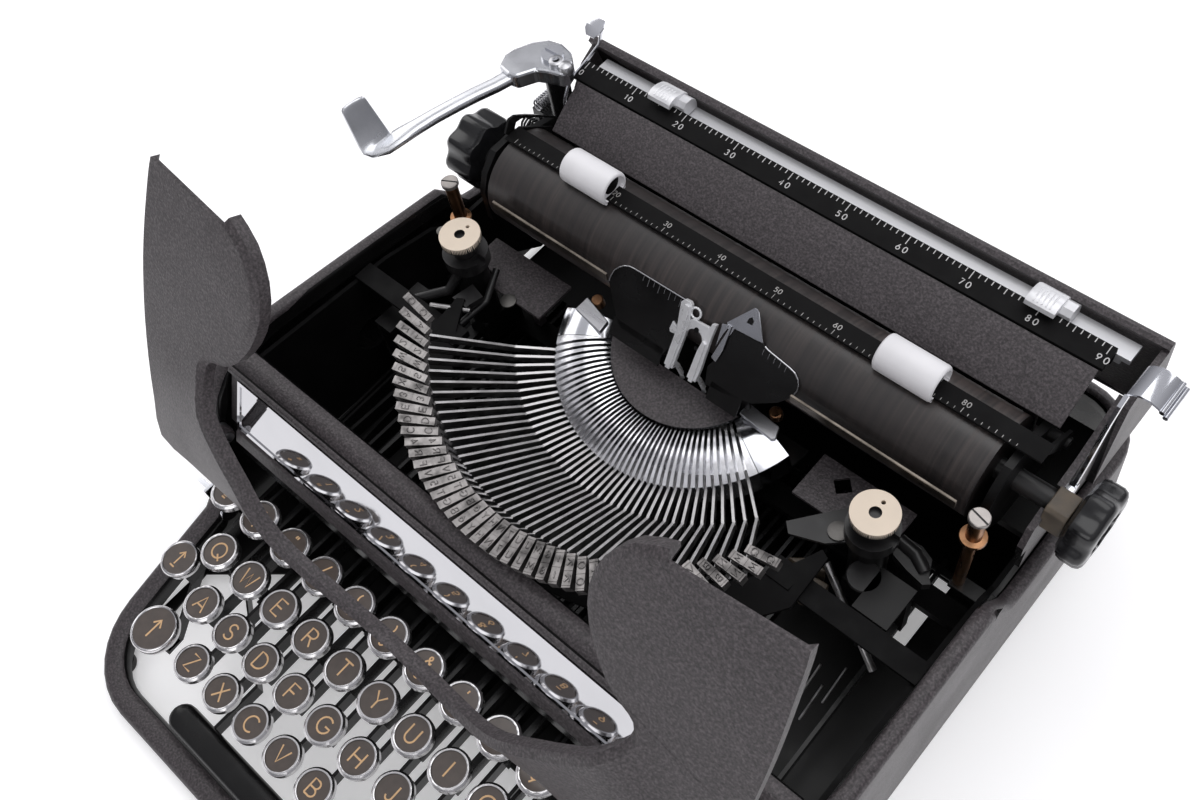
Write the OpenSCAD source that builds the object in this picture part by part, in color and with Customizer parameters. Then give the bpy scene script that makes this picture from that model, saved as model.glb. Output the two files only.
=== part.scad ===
// Portable typewriter, standing on its feet with the top cover tipped open
// and the carriage pushed to the right. Millimetres, X to the right,
// Y to the back, Z up, the table at Z = 0.

/* [Body] */
// Width of the body over its side walls
body_w = 294; // [286:1:302]
// Distance from the machine's datum line forward to the front rim
front_reach = 176; // [170:1:182]
// Distance from the datum line back to the foot of the rear wall
rear_reach = 180; // [176:1:190]
// Plan radius of the front corners
front_r = 34; // [26:1:40]
// Plan radius of the rear corners
rear_r = 25; // [18:1:30]
// Thickness of the body's sheet
sheet = 2.2; // [1.6:0.1:3]
// Width of the rounded rim beside the keys
rim_w = 11; // [9:0.5:12]
// Width of the turned edge on the tall rear walls
edge_w = 6.5; // [5:0.5:8]
// Height of the body's lower edge over the table
ground_gap = 5; // [4:0.5:8]
// Height of the rear wall
rear_wall_h = 71; // [66:1:73]

/* [Top cover] */
// Angle of the open cover's face from the horizontal
cover_angle = 63.1; // [60:0.5:66]
// Length of the cover's face from its front edge to its rear corners
cover_len = 119.2; // [110:1:122]
// Half width of the cover at its corners
cover_half = 129.5; // [128.5:0.5:130]
// Sheet thickness of the cover
cover_t = 1.5; // [1.2:0.1:2]
// Depth of the turned flange along the cover's inner edge
cover_flange = 6.5; // [5:0.5:7]
// Radius of the cover's hinge pins
pin_r = 2.5; // [2:0.1:3]

/* [Keys] */
// Distance between neighbouring keys of one row
key_pitch = 19; // [18.5:0.1:19]
// Diameter of a key's metal ring
key_d = 16; // [15:0.5:16.5]
// Height of a key's ring
key_h = 4.6; // [4:0.2:5]
// Thickness of a key lever
lever_t = 1.5; // [1.2:0.1:1.6]
// Height of a key lever
lever_h = 7; // [6:0.5:7]
// Radius of the rod that the key levers turn on
lever_rod_r = 1.5; // [1.3:0.1:1.8]

/* [Type basket] */
// Number of typebars
bar_count = 43; // [43:2:43]
// Inner radius of the slotted segment
seg_in = 34.9; // [34:0.2:36]
// Outer radius of the slotted segment
seg_out = 57.8; // [57:0.2:58.6]
// Thickness of a typebar
bar_t = 1.05; // [0.95:0.05:1.1]
// Width of the slots in the segment
slot_w = 1.25; // [1.2:0.05:1.3]
// Radius of the curved wire that the typebars turn on
wire_r = 0.8; // [0.7:0.05:0.9]
// Length of a type slug
slug_len = 12.7; // [12:0.1:13]
// Width of a type slug
slug_w = 3; // [2.6:0.1:3.2]

/* [Carriage] */
// Radius of the platen
platen_r = 20; // [19:0.2:20.2]
// Length of the platen's roller
platen_len = 223; // [215:1:224]
// Height of the platen's axis
platen_z = 109; // [108.8:0.2:110]
// Radius of the platen's axle
axle_r = 4; // [3:0.2:5]
// Radius of the turning knobs
knob_r = 19.5; // [18:0.5:19.5]
// Length of the paper table
table_len = 228; // [220:1:229]
// Width of the flat bail bar
bail_w = 8; // [7:0.2:9]

/* [Ribbon] */
// Distance of the ribbon spindles from the centre plane
hub_x = 99; // [97:0.5:101]
// Radius of the disc on top of each ribbon spindle
hub_r = 8.5; // [8:0.1:9]
// Height of that disc over the table
hub_top = 112.3; // [111:0.1:112.6]

/* [Fits] */
// Running clearance of shafts and pins, on the radius
run_gap = 0.05; // [0.03:0.01:0.08]
// Gap between pieces that only stand beside each other
rest_gap = 0.3; // [0.25:0.05:0.4]

/* [Hidden] */

$fn = 48;
half_w = body_w / 2;
paint = [0.16, 0.16, 0.165];
gloss = [0.07, 0.07, 0.075];
steel = [0.72, 0.72, 0.74];
chrome = [0.86, 0.87, 0.9];
darkmetal = [0.2, 0.2, 0.21];
brass = [0.62, 0.45, 0.26];
ivory = [0.87, 0.83, 0.74];
alloy = [0.78, 0.79, 0.8];
rubber = [0.12, 0.115, 0.11];

// Reach of the two pieces that stick out furthest at the sides
knob_out = 159;
thumb_out = 162.6;
mid_x = (knob_out - thumb_out) / 2;
// The rear wall leans forward: it loses this much depth per millimetre of height
rear_lean = 38 / 139;
mid_y = (rear_reach - rear_lean * ground_gap - front_reach) / 2;

// Places that several pieces share
hinge = [-69.5, 74.5];
platen_y = 86;
platen_x0 = -103;
platen_x1 = platen_x0 + platen_len;
ring_origin = [0, 73, 89.3];
ring_tilt = 10.5;
lever_pivot = [75, 36];
lever_x0 = -112.3;
lever_step = key_pitch / 4;

// Rows of keys: depth, height of the key's top, first lever, number of keys
number_row = [-84.3, 71.6, 0, 11];
q_row = [-103, 60, 2, 10];
a_row = [-121.7, 48.4, 3, 10];
z_row = [-140.3, 36.8, 5, 9];
rows = [number_row, q_row, a_row, z_row];
// Levers whose keys and typebars move
live = [10, 13, 19, 22, 25];

// Height of the body's top edge, left and right, along its depth
cheek = [[-176, 10.5], [-147, 16], [-120, 23], [-92, 30], [-84, 38], [-77, 56], [-70, 78],
    [-60, 93], [-50, 98.5], [-38, 100.3], [-25, 100.5]];
left_edge = concat(cheek, [[21, 94.5], [68, 88], [72, 85.5], [76, 78], [80, rear_wall_h + 2],
    [84, rear_wall_h], [rear_reach, rear_wall_h]]);
right_edge = concat(cheek, [[21, 101.5], [42, 101], [47, 98.5], [53, 90], [59, 78],
    [64, rear_wall_h + 1], [70, rear_wall_h], [rear_reach, rear_wall_h]]);

function clamp(v, low, high) = min(max(v, low), high);
function edge_height(p) = lookup(p.y, p.x < 0 ? left_edge : right_edge);
function edge_width(y) = rim_w + (edge_w - rim_w) * clamp((y + 60) / 30, 0, 1);
function lean(y, z) = y - rear_lean * z * clamp((y - 95) / 60, 0, 1);
function lever_x(i) = lever_x0 + lever_step * i;
function row_of(i) = i % 4 == 0 ? number_row : i % 4 == 1 ? z_row : i % 4 == 2 ? q_row : a_row;
function is_live(i) = len([for (k = live) if (k == i) 1]) > 0;

module place() {
    translate([-mid_x, -mid_y, 0]) children();
}

// A side profile given as [y, z] points, drawn out along X
module across(points, x0, width) {
    translate([x0, 0, 0]) rotate([90, 0, 90]) linear_extrude(width) polygon(points);
}

module x_rod(x0, x1, y, z, r) {
    translate([x0, y, z]) rotate([0, 90, 0]) cylinder(h = x1 - x0, r = r);
}

// A flat bar from p to q
module strut(p, q, width, height) {
    d = q - p;
    l = norm(d);
    translate(p) rotate([0, -asin(d.z / l), atan2(d.y, d.x)])
        translate([0, -width / 2, -height / 2]) cube([l, width, height]);
}

// A slotted screw head standing on z = 0
module screw_head(r, h) {
    difference() {
        cylinder(h = h, r = r);
        translate([-r - 1, -r * 0.14, h * 0.5]) cube([2 * r + 2, r * 0.28, h]);
    }
}

// Body shell: one wall swept round the plan outline, its height, rim width and
// rear slope following the depth of each station

function arc_stations(cx, cy, r, a0, a1, n) =
    [for (k = [0:n]) let (a = a0 + (a1 - a0) * k / n)
        [cx + r * cos(a), cy + r * sin(a), cos(a), sin(a)]];
side_steps = 48;
side_y0 = -front_reach + front_r;
side_y1 = rear_reach - rear_r;
function side_stations(s) =
    [for (k = [1:side_steps - 1])
        let (t = s > 0 ? k : side_steps - k) [s * half_w, side_y0 + (side_y1 - side_y0) * t / side_steps, s, 0]];
stations = concat(
    arc_stations(half_w - front_r, side_y0, front_r, -90, 0, 8),
    side_stations(1),
    arc_stations(half_w - rear_r, side_y1, rear_r, 0, 90, 7),
    arc_stations(-half_w + rear_r, side_y1, rear_r, 90, 180, 7),
    side_stations(-1),
    arc_stations(-half_w + front_r, side_y0, front_r, 180, 270, 8));

function wall_section(h, w) =
    let (r = min(4.2, w / 2 - 0.3), d = min(9, h - ground_gap - 0.8))
    concat([[0, ground_gap]],
        [for (a = [0:22.5:90]) [r - r * cos(a), h - r + r * sin(a)]],
        [for (a = [90:-22.5:0]) [w - r + r * cos(a), h - r + r * sin(a)]],
        [[w, h - d], [sheet, h - d - 0.4], [sheet, ground_gap]]);

function shell_ring(s) = [for (q = wall_section(edge_height(s), edge_width(s.y)))
    let (x = s[0] - s[2] * q[0], y = s[1] - s[3] * q[0]) [x, lean(y, q[1]), q[1]]];

module sweep(rings) {
    n = len(rings);
    m = len(rings[0]);
    polyhedron([for (r = rings) each r],
        [for (i = [0:n - 1]) for (j = [0:m - 1])
            let (a = i * m + j, b = i * m + (j + 1) % m)
            let (c = ((i + 1) % n) * m + (j + 1) % m, d = ((i + 1) % n) * m + j)
            each [[a, b, c], [a, c, d]]], convexity = 8);
}

module base_shell() {
    color(paint) place() sweep([for (s = stations) shell_ring(s)]);
}

// Rubber feet under the rim's front corners and on lugs at the rear
foot_front = [half_w - front_r + 20, side_y0 - 20];
foot_rear = [half_w - 20, 138];
foot_seat = ground_gap - rest_gap;

module foot() {
    cylinder(h = 1.5, r1 = 4.4, r2 = 5.2);
    translate([0, 0, 1.5]) cylinder(h = foot_seat - 1.5, r = 5.2);
}

module base_feet() {
    color(rubber) place() for (s = [-1, 1]) {
        translate([s * foot_front.x, foot_front.y, 0]) foot();
        translate([s * foot_rear.x, foot_rear.y, 0]) foot();
    }
}

// Front panel with the ledge on top, and the polished plate on its face
panel_half = 135;
panel_dir = [11, 21.9] / norm([11, 21.9]);
panel_normal = [-panel_dir.y, panel_dir.x];
panel_low = [-64, 76.4];
panel_top = [-53, 98.3];
panel_t = 2.4;
plate_t = 1.2;
panel_foot_z = 54;

module front_panel() {
    low = panel_low - plate_t * panel_normal;
    top = panel_top - plate_t * panel_normal;
    back = -panel_t * panel_normal;
    color(paint) place() {
        across([[-67.4, panel_foot_z], low, top, [-53.2, 99.6], [-52.4, 101], [-51, 101.2], [-50, 100.2],
            [-49, 101.2], [-46.5, 102.3], [-43.5, 102.3], [-41, 101.2], [-40, 99.4], [-40, 96.6],
            [-42, 98.2], [-49.4, 98.2], top + back, low + back, [-65, panel_foot_z]],
            -panel_half, 2 * panel_half);
        across([[-67.9, panel_foot_z + 16.4], [-67.2, panel_foot_z + 16.4], low + [-0.8, 0.4],
            low + [-2.6, -0.4]], -129, 258);
    }
}

module mirror_plate() {
    low = panel_low + 0.2 * panel_dir;
    top = panel_top - 0.3 * panel_dir;
    in = (plate_t - 0.05) * panel_normal;
    edge = 0.5 * panel_normal;
    color(chrome) place() difference() {
        across([low - in, low + edge, top + edge, top - in], -129, 258);
        across([low + 1.6 * panel_dir + edge * 2, low + 1.6 * panel_dir,
            top - 1.6 * panel_dir, top - 1.6 * panel_dir + edge * 2], -127.4, 254.8);
    }
}

// Hinge pins that the cover's arms turn on
arm_x = 130;
arm_w = 1.5;
module hinge_pins() {
    color(steel) place() for (s = [-1, 1]) mirror([s < 0 ? 1 : 0, 0, 0]) {
        x_rod(arm_x - 0.8, arm_x + arm_w + 0.5, hinge.x, hinge.y, pin_r);
        x_rod(arm_x + arm_w + 0.5, half_w - rim_w - rest_gap, hinge.x, hinge.y, pin_r + 1.4);
    }
}

// Inner frame: side plates, cross bars, lever rod, segment bed and carriage rails
frame_x = half_w - edge_w - 3.6;
frame_t = 2;
rail_front_y = 92;
rail_rear_y = 128;
rail_top = 76;
bed_z = rail_top + rest_gap;

module side_plate() {
    across([[-62, 7], [-62, 50], [-50, 88], [-44, 90], [30, 84], [56, 78], [66, rail_top - 6], [134, rail_top - 6],
        [146, 12], [110, 12], [96, 22], [-40, 22], [-48, 7]], 0, frame_t);
}

module frame() {
    color(darkmetal) place() {
        difference() {
            for (s = [-1, 1]) translate([s > 0 ? frame_x : -frame_x - frame_t, 0, 0]) side_plate();
            for (s = [-1, 1]) x_rod(s * frame_x - 8, s * frame_x + 8, 10, 52, 9);
            for (s = [-1, 1]) x_rod(s * frame_x - 8, s * frame_x + 8, 110, 48, 11);
        }
        for (s = [-1, 1]) translate([s > 0 ? frame_x + frame_t : -half_w + sheet + rest_gap, 118, ground_gap])
            cube([half_w - sheet - rest_gap - frame_x - frame_t, 24, 12]);
        for (s = [-1, 1]) mirror([s < 0 ? 1 : 0, 0, 0]) {
            translate([foot_rear.x - 9, 118, ground_gap]) cube([half_w - sheet - rest_gap - foot_rear.x + 9, 28, 3]);
            translate([foot_rear.x - 9, 118, ground_gap]) cube([frame_t, 28, 8]);
        }
        x_rod(-frame_x, frame_x, lever_pivot.x, lever_pivot.y, lever_rod_r);
        translate([-frame_x, -62, 7]) cube([2 * frame_x, 3, 4]);
        translate([-frame_x, 138, 30]) cube([2 * frame_x, 3, 36]);
        for (y = [rail_front_y, rail_rear_y])
            translate([-frame_x - frame_t, y - 3, rail_top - 6]) cube([2 * frame_x + 2 * frame_t, 6, 6]);
        for (s = [-1, 1]) across([[52, 45], [66, 45], [66, 66.6], [52, 64]], s * 40 - 3, 6);
        translate([-frame_x, 54, 42]) cube([2 * frame_x, 10, 4]);
    }
}

// Segment bed: the half round plate that the ring stands on, over the frame's two legs
bed_ring_z = -18;
module segment_bed() {
    color(darkmetal) place() in_ring() intersection() {
        translate([0, 0, bed_ring_z - 3]) cylinder(h = 3, r = seg_out - 2);
        translate([-60, -70, bed_ring_z - 10]) cube([120, 64, 20]);
    }
}

module in_ring() {
    translate(ring_origin) rotate([ring_tilt, 0, 0]) children();
}

// Slotted segment. Slots radiate from a point behind the ring's own centre
fan_y = 8.1;
pivot_reach = 60;
pivot_z = -8;
dome_r = 30;
dome_top = 1.5;
ring_low = bed_ring_z + rest_gap;
ring_half_angle = 61;
cap_half_angle = 86;

function bar_u(i) = (i - (bar_count - 1) / 2) / ((bar_count - 1) / 2);
function fan_angle(u) = 43 * u + 7.5 * pow(u, 3);

module ring_wedge(half, low, high, inner, outer) {
    translate([0, 0, low]) rotate([0, 0, -90 - half]) rotate_extrude(angle = 2 * half)
        translate([inner, 0]) square([outer - inner, high - low]);
}

module dome(half) {
    rotate([0, 0, -90 - half]) rotate_extrude(angle = 2 * half) intersection() {
        translate([(seg_in + seg_out) / 2, dome_top - dome_r]) circle(dome_r, $fn = 120);
        translate([seg_in, ring_low]) square([seg_out - seg_in, -ring_low + 3]);
    }
}

module segment() {
    color(chrome) place() in_ring() {
        difference() {
            dome(ring_half_angle);
            for (i = [0:bar_count - 1]) translate([0, fan_y, 0]) rotate([0, 0, fan_angle(bar_u(i))])
                translate([-slot_w / 2, -80, -12.5]) cube([slot_w, 60, 20]);
            translate([0, fan_y, -30]) rotate([0, 0, -90 - 60]) rotate_extrude(angle = 120)
                translate([pivot_reach - 1.3, 0]) square([2.6, 30 + pivot_z + wire_r + 0.15]);
        }
    }
}

module segment_caps() {
    half = (cap_half_angle - ring_half_angle) / 2 - 0.15;
    color(chrome) place() in_ring() for (s = [-1, 1]) rotate([0, 0, s * (ring_half_angle + cap_half_angle) / 2])
        difference() {
            ring_wedge(half, ring_low, 0.6, seg_in, seg_out + 1.5);
            translate([0, -45.3, -2]) cylinder(h = 6, r = 2.1);
        }
}

wire_half = 53;
module segment_wire() {
    color(steel) place() in_ring() translate([0, fan_y, pivot_z]) rotate([0, 0, -90 - wire_half])
        rotate_extrude(angle = 2 * wire_half, $fn = 720) translate([pivot_reach, 0]) circle(wire_r, $fn = 24);
}

plate_back = 14.6;
module segment_plate() {
    r = seg_in - rest_gap;
    color(paint) place() in_ring() {
        translate([0, 0, -1.4]) intersection() {
            cylinder(h = 1.8, r = r);
            translate([-r, -r - 1, 0]) cube([2 * r, r + 1 - plate_back, 3]);
        }
        for (x = [-18, 18]) translate([x, -23, bed_ring_z]) cylinder(h = -1.4 - bed_ring_z, r = 2.5);
    }
}

module segment_screws() {
    color(chrome) place() in_ring() for (s = [-1, 1])
        rotate([0, 0, s * (ring_half_angle + cap_half_angle) / 2]) translate([0, -45.3, 0.6]) {
            screw_head(4.4, 2);
            translate([0, 0, -2.4]) cylinder(h = 2.4, r = 2);
        }
}

// Typebars: an inner arm in its slot, an outer arm bent up and to the front,
// a neck and a wedge-shaped slug
knee_reach = 79.7;
outer_run = 27;
arm_end_z = 30;
function turned(r, a) = [r * sin(a), -r * cos(a)];
function knee(u) = [0, fan_y] + turned(knee_reach, fan_angle(u));
function arm_end(u) = knee(u) + turned(outer_run, fan_angle(u) - 14 * u);
function slug_mid(u) = turned(106.5 - 6.2 * u * u, 47 * u + 7.5 * pow(u, 3));

module typebar(i) {
    u = bar_u(i);
    k = knee(u);
    e = arm_end(u);
    n = slug_mid(u) - turned(slug_len / 2 - 1.8, 96 * u);
    translate([0, fan_y, 0]) rotate([0, 0, fan_angle(u)]) difference() {
        rotate([90, 0, -90]) translate([0, 0, -bar_t / 2]) linear_extrude(bar_t) polygon([
            [pivot_reach - 2.6, pivot_z - 1.6], [pivot_reach, pivot_z - 2.6], [pivot_reach + 3, pivot_z - 1.9],
            [knee_reach + 1.3, -1.7], [knee_reach + 0.6, 1.5], [knee_reach - 1, 1.8],
            [pivot_reach, pivot_z + 2.4], [pivot_reach - 2.6, pivot_z + 1.6]]);
        translate([-2, -pivot_reach, pivot_z]) rotate([0, 90, 0]) cylinder(h = 4, r = wire_r + run_gap, $fn = 24);
    }
    strut([k.x, k.y, 0], [e.x, e.y, arm_end_z], bar_t, 3.2);
    strut([e.x, e.y, arm_end_z - 1.4], [n.x, n.y, 37.4], bar_t, 2.6);
    translate(slug_mid(u)) rotate([0, 0, 96 * u]) rotate([90, 0, -90])
        translate([0, 0, -slug_w / 2]) linear_extrude(slug_w) polygon([
            [-slug_len / 2, 36.4], [slug_len / 2, 37.4], [slug_len / 2, 43], [-slug_len / 2, 39]]);
}

module bar_at(i) {
    color(steel) place() in_ring() typebar(i);
}

module typebars_rest() {
    color(steel) place() in_ring() for (i = [0:bar_count - 1]) if (!is_live(i)) typebar(i);
}

// Padded crescent that the outer arms lie over
module type_rest() {
    color(gloss) place() in_ring() difference() {
        translate([0, 0, 8]) rotate([0, 0, -90 - 66]) rotate_extrude(angle = 132)
            translate([97, 0]) square([14, 2]);
        translate([0, 0, -50]) for (s = [-1, 1]) translate([s * 112 - 20, -90, 0]) cube([40, 100, 100]);
    }
    color(gloss) place() for (s = [-1, 1]) mirror([s < 0 ? 1 : 0, 0, 0]) {
        translate([78, 14, 85.6]) cube([frame_x + frame_t - 78, 9, 1.5]);
        translate([78, 14, 85.6]) cube([10, 9, 3.6]);
    }
}

// Keys

function lever_front_z(row) = 12 - lever_h / 2 + 0.5 * row[1];

module lever(i) {
    row = row_of(i);
    z0 = lever_front_z(row);
    y0 = row[0] - 4;
    across([[y0, z0 - lever_h / 2], [y0, z0 + lever_h / 2], [lever_pivot.x + 4, lever_pivot.y + lever_h / 2],
        [lever_pivot.x + 6, lever_pivot.y], [lever_pivot.x + 4, lever_pivot.y - lever_h / 2]],
        lever_x(i) - lever_t / 2, lever_t);
    translate([lever_x(i) - lever_t / 2, row[0] - 2.5, z0])
        cube([lever_t, 5, row[1] - key_h - z0 + 0.6]);
}

module lever_bore(i) {
    x_rod(lever_x(i) - 3, lever_x(i) + 3, lever_pivot.x, lever_pivot.y, lever_rod_r + run_gap);
}

module key_ring(d) {
    difference() {
        union() {
            translate([0, 0, -key_h]) cylinder(h = 1.2, r = d / 2 - 1.2);
            translate([0, 0, -key_h + 1.2]) cylinder(h = key_h - 2, r = d / 2);
            translate([0, 0, -0.8]) cylinder(h = 0.8, r1 = d / 2, r2 = d / 2 - 0.8);
        }
        translate([0, 0, -2]) cylinder(h = 4, r = d / 2 - 1.5);
    }
}

module key_disc(d) {
    translate([0, 0, -2 + rest_gap / 3]) cylinder(h = 1.4, r = d / 2 - 1.6);
}

module at_key(i) {
    row = row_of(i);
    translate([lever_x(i), row[0], row[1]]) children();
}

levers = [for (r = rows) for (k = [0:r[3] - 1]) r[2] + 4 * k];

module keys_rings() {
    color(chrome) place() for (i = levers) if (!is_live(i)) at_key(i) key_ring(key_d);
}

module keys_discs() {
    color([0.2, 0.17, 0.15]) place() for (i = levers) if (!is_live(i)) at_key(i) key_disc(key_d);
}

module levers_rest() {
    color(gloss) place() for (i = levers) if (!is_live(i)) difference() {
        lever(i);
        lever_bore(i);
        at_key(i) translate([-4, -4, -key_h]) cube([8, 8, 4]);
    }
}

module live_key(i) {
    color(steel) place() difference() {
        union() {
            lever(i);
            at_key(i) key_ring(key_d);
            at_key(i) translate([0, 0, -2.1]) cylinder(h = 1.5, r = key_d / 2 - 1.45);
        }
        lever_bore(i);
    }
}

// Shift keys at the left ends of the two lower rows, and the space bar
shift_key = [-124, -131, 44];
lock_key = [-124, -108.5, 52];
shift_lever_x = -127.5;
lock_lever_x = -122.5;

module side_key(p, x, d, pivot_y) {
    difference() {
        union() {
            across([[p.y - 4, p.z - 22], [p.y - 4, p.z - 15], [pivot_y + 4, 39.5], [pivot_y + 6, 36],
                [pivot_y + 4, 32.5]], x - lever_t / 2, lever_t);
            translate([x - lever_t / 2, p.y - 3, p.z - 20]) cube([lever_t, 6, 20 - key_h + 0.6]);
            translate(p) key_ring(d);
            translate([p.x, p.y, p.z - 2.1]) cylinder(h = 1.5, r = d / 2 - 1.45);
        }
        x_rod(x - 3, x + 3, lever_pivot.x, lever_pivot.y, lever_rod_r + run_gap);
    }
}

module shift_left() {
    color(steel) place() side_key(shift_key, shift_lever_x, 20, lever_pivot.x);
}

module shift_lock() {
    color(steel) place() side_key(lock_key, lock_lever_x, key_d, lever_pivot.x);
}

space_y = -158;
space_z = 22;
space_half = 66;
module spacebar() {
    color(gloss) place() {
        translate([-space_half, space_y - 6, space_z - 4]) cube([2 * space_half, 12, 2.5]);
        for (s = [-1, 1]) translate([s * space_half, space_y, space_z - 4]) cylinder(h = 2.5, r = 6);
        x_rod(-space_half, space_half, space_y, space_z - 3, 4.6);
        for (s = [-1, 1]) difference() {
            across([[space_y - 3, space_z - 10], [space_y - 3, space_z - 3], [space_y + 3, space_z - 3],
                [-120, 17], [lever_pivot.x + 4, lever_pivot.y + 3.5], [lever_pivot.x + 6, lever_pivot.y],
                [lever_pivot.x + 4, lever_pivot.y - 3.5], [-120, 10]],
                s > 0 ? 112 : -119.5, 1.5);
            x_rod(s * 115 - 6, s * 115 + 6, lever_pivot.x, lever_pivot.y, lever_rod_r + run_gap);
        }
        for (s = [-1, 1]) translate([s > 0 ? space_half - 2 : -119.5, space_y - 1, space_z - 8])
            cube([119.5 - space_half + 2, 3, 4]);
    }
}

// Thin lever over the left rim
side_lever_x = half_w - rim_w - rest_gap;
side_lever_out = 152;
side_lever_pivot = [-87.3, 29];
side_lever_t = 1.4;
side_lever_h = 50.6;
module side_lever() {
    color(chrome) place() {
        x_rod(-side_lever_x, -side_lever_x + side_lever_t, side_lever_pivot.x, side_lever_pivot.y, 4.5);
        translate([-side_lever_x, side_lever_pivot.x - 2.7, side_lever_pivot.y])
            cube([side_lever_t, 5.5, side_lever_h + side_lever_t - side_lever_pivot.y]);
        translate([-side_lever_out, side_lever_pivot.x - 1.1, side_lever_h])
            cube([side_lever_out - side_lever_x + side_lever_t, 2.2, side_lever_t]);
    }
}

// Deck plates beside the segment, one with a diamond hole
module deck_plates() {
    color(paint) place() {
        difference() {
            translate([64, 48, 80]) cube([40, 20, 1.5]);
            translate([77, 57, 78]) rotate([0, 0, 45]) cube([6, 6, 6]);
            translate([hub_x, 45.8, 78]) cylinder(h = 6, r = 8);
        }
        difference() {
            translate([-108, 48, 80]) cube([44, 20, 1.5]);
            translate([-hub_x, 45.8, 78]) cylinder(h = 6, r = 8);
        }
        for (s = [-1, 1]) translate([s * 84 - 2, 60, 46]) cube([4, 4, 34]);
    }
}

// Ribbon drive on each side: post, bearing, links and bright brackets
module mech_post() {
    difference() {
        union() {
            translate([0, 45.8, 60]) cylinder(h = 40, r = 7);
            translate([0, 45.8, 96]) cylinder(h = 6, r = 9.5);
            translate([-6, 40, 46.3]) cube([12, 20, 14]);
        }
        translate([0, 45.8, 58]) cylinder(h = 60, r = 3 + run_gap);
        translate([5, 43.8, 99]) cube([6, 4, 6]);
    }
}

module ribbon_mech_left() {
    color(darkmetal) place() {
        translate([-hub_x, 0, 0]) mech_post();
        translate([-126, 8, 70]) cube([10, 26, 2]);
        translate([-126, 8, 46]) cube([2, 20, 24]);
        translate([-126, 24, 46]) cube([24, 6, 2]);
        translate([-107, 24, 46]) cube([6, 22, 2]);
    }
}

module ribbon_mech_right() {
    color(darkmetal) place() {
        translate([hub_x, 0, 0]) mech_post();
        translate([107, 24, 84]) cube([14, 18, 2]);
        translate([107, 36, 60]) cube([14, 4, 24]);
        translate([104, 38, 60]) cube([4, 4, 14]);
    }
}

// Brass ribbon guides
guide_left = [-117, 59.7, 119];
guide_right = [127.5, 59.7, 123];
module guide_post(top) {
    translate([0, 0, 70]) cylinder(h = top - 70 - 16, r = 2.4);
    translate([0, 0, top - 18.4]) cylinder(h = 1.4, r = 5.9);
    translate([0, 0, top - 17]) cylinder(h = 11, r = 3.4);
    translate([0, 0, top - 6]) cylinder(h = 3.4, r1 = 3.4, r2 = 5);
    translate([0, 0, top - 2.6]) screw_head(5, 2.6);
}

module guide_posts() {
    color(brass) place() {
        translate([guide_left.x, guide_left.y, 0]) guide_post(guide_left.z);
        translate([guide_right.x, guide_right.y, 0]) guide_post(guide_right.z);
        translate([-frame_x + rest_gap, 56.5, 70]) cube([frame_x + guide_left.x + 2, 6, 2.4]);
        translate([guide_right.x - 2, 56.5, 70]) cube([frame_x - guide_right.x + 2 - rest_gap, 6, 2.4]);
    }
}

// Ribbon vibrator and the two card holders in front of the platen
guide_y = 59.2;
bed_seat_z = 69.5;
module vibrator() {
    color(chrome) place() {
        for (x = [-1.5, 9]) translate([x, guide_y, 84]) cube([3.4, 1.8, 49]);
        difference() {
            translate([-1.5, guide_y + 0.4, 116]) cube([13.9, 1, 9]);
            translate([5.4, guide_y - 2, 120.5]) rotate([-90, 0, 0]) cylinder(h = 8, r = 1.6);
        }
        translate([-1.5, guide_y + 0.4, 98]) cube([13.9, 1, 6]);
    }
}

module card_holders() {
    back = guide_y + 1.8 + rest_gap;
    color(gloss) place() {
        translate([-28, guide_y + 0.2, 98]) cube([25, 0.8, 30]);
        translate([16, guide_y + 0.2, 112]) cube([37, 0.8, 20]);
        translate([-28, guide_y + 0.2, bed_seat_z]) cube([10, 0.8, 29]);
        translate([16, guide_y + 0.2, bed_seat_z]) cube([10, 0.8, 43]);
        translate([-28, guide_y + 0.2, bed_seat_z]) cube([10, 3.6, 3]);
        translate([16, guide_y + 0.2, bed_seat_z]) cube([10, 3.6, 3]);
        translate([-28, back, bed_seat_z]) cube([54, 1.5, 22]);
        translate([-95, guide_y + 3, 115]) cube([78, 1.2, 4]);
        translate([-27, guide_y + 0.2, 115]) cube([10, 3.6, 4]);
        translate([48, guide_y + 3, 115]) cube([70, 1.2, 4]);
        translate([43, guide_y + 0.2, 115]) cube([10, 3.6, 4]);
    }
}

// Ribbon spindles with their pale discs
module hub() {
    translate([0, 0, hub_top - 3.2]) difference() {
        cylinder(h = 3.2, r = hub_r);
        translate([0, 0, 1.2]) cylinder(h = 4, r = 2.2);
        translate([0, 4.6, -1]) cylinder(h = 6, r = 0.8);
    }
    translate([0, 0, 102 + rest_gap]) cylinder(h = hub_top - 3.2 - 102 - rest_gap, r = 5);
    translate([0, 0, 62]) cylinder(h = 44, r = 3);
}

module hub_left() {
    color(ivory) place() translate([-hub_x, 45.8, 0]) hub();
}

module hub_right() {
    color(ivory) place() translate([hub_x, 45.8, 0]) hub();
}

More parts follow.
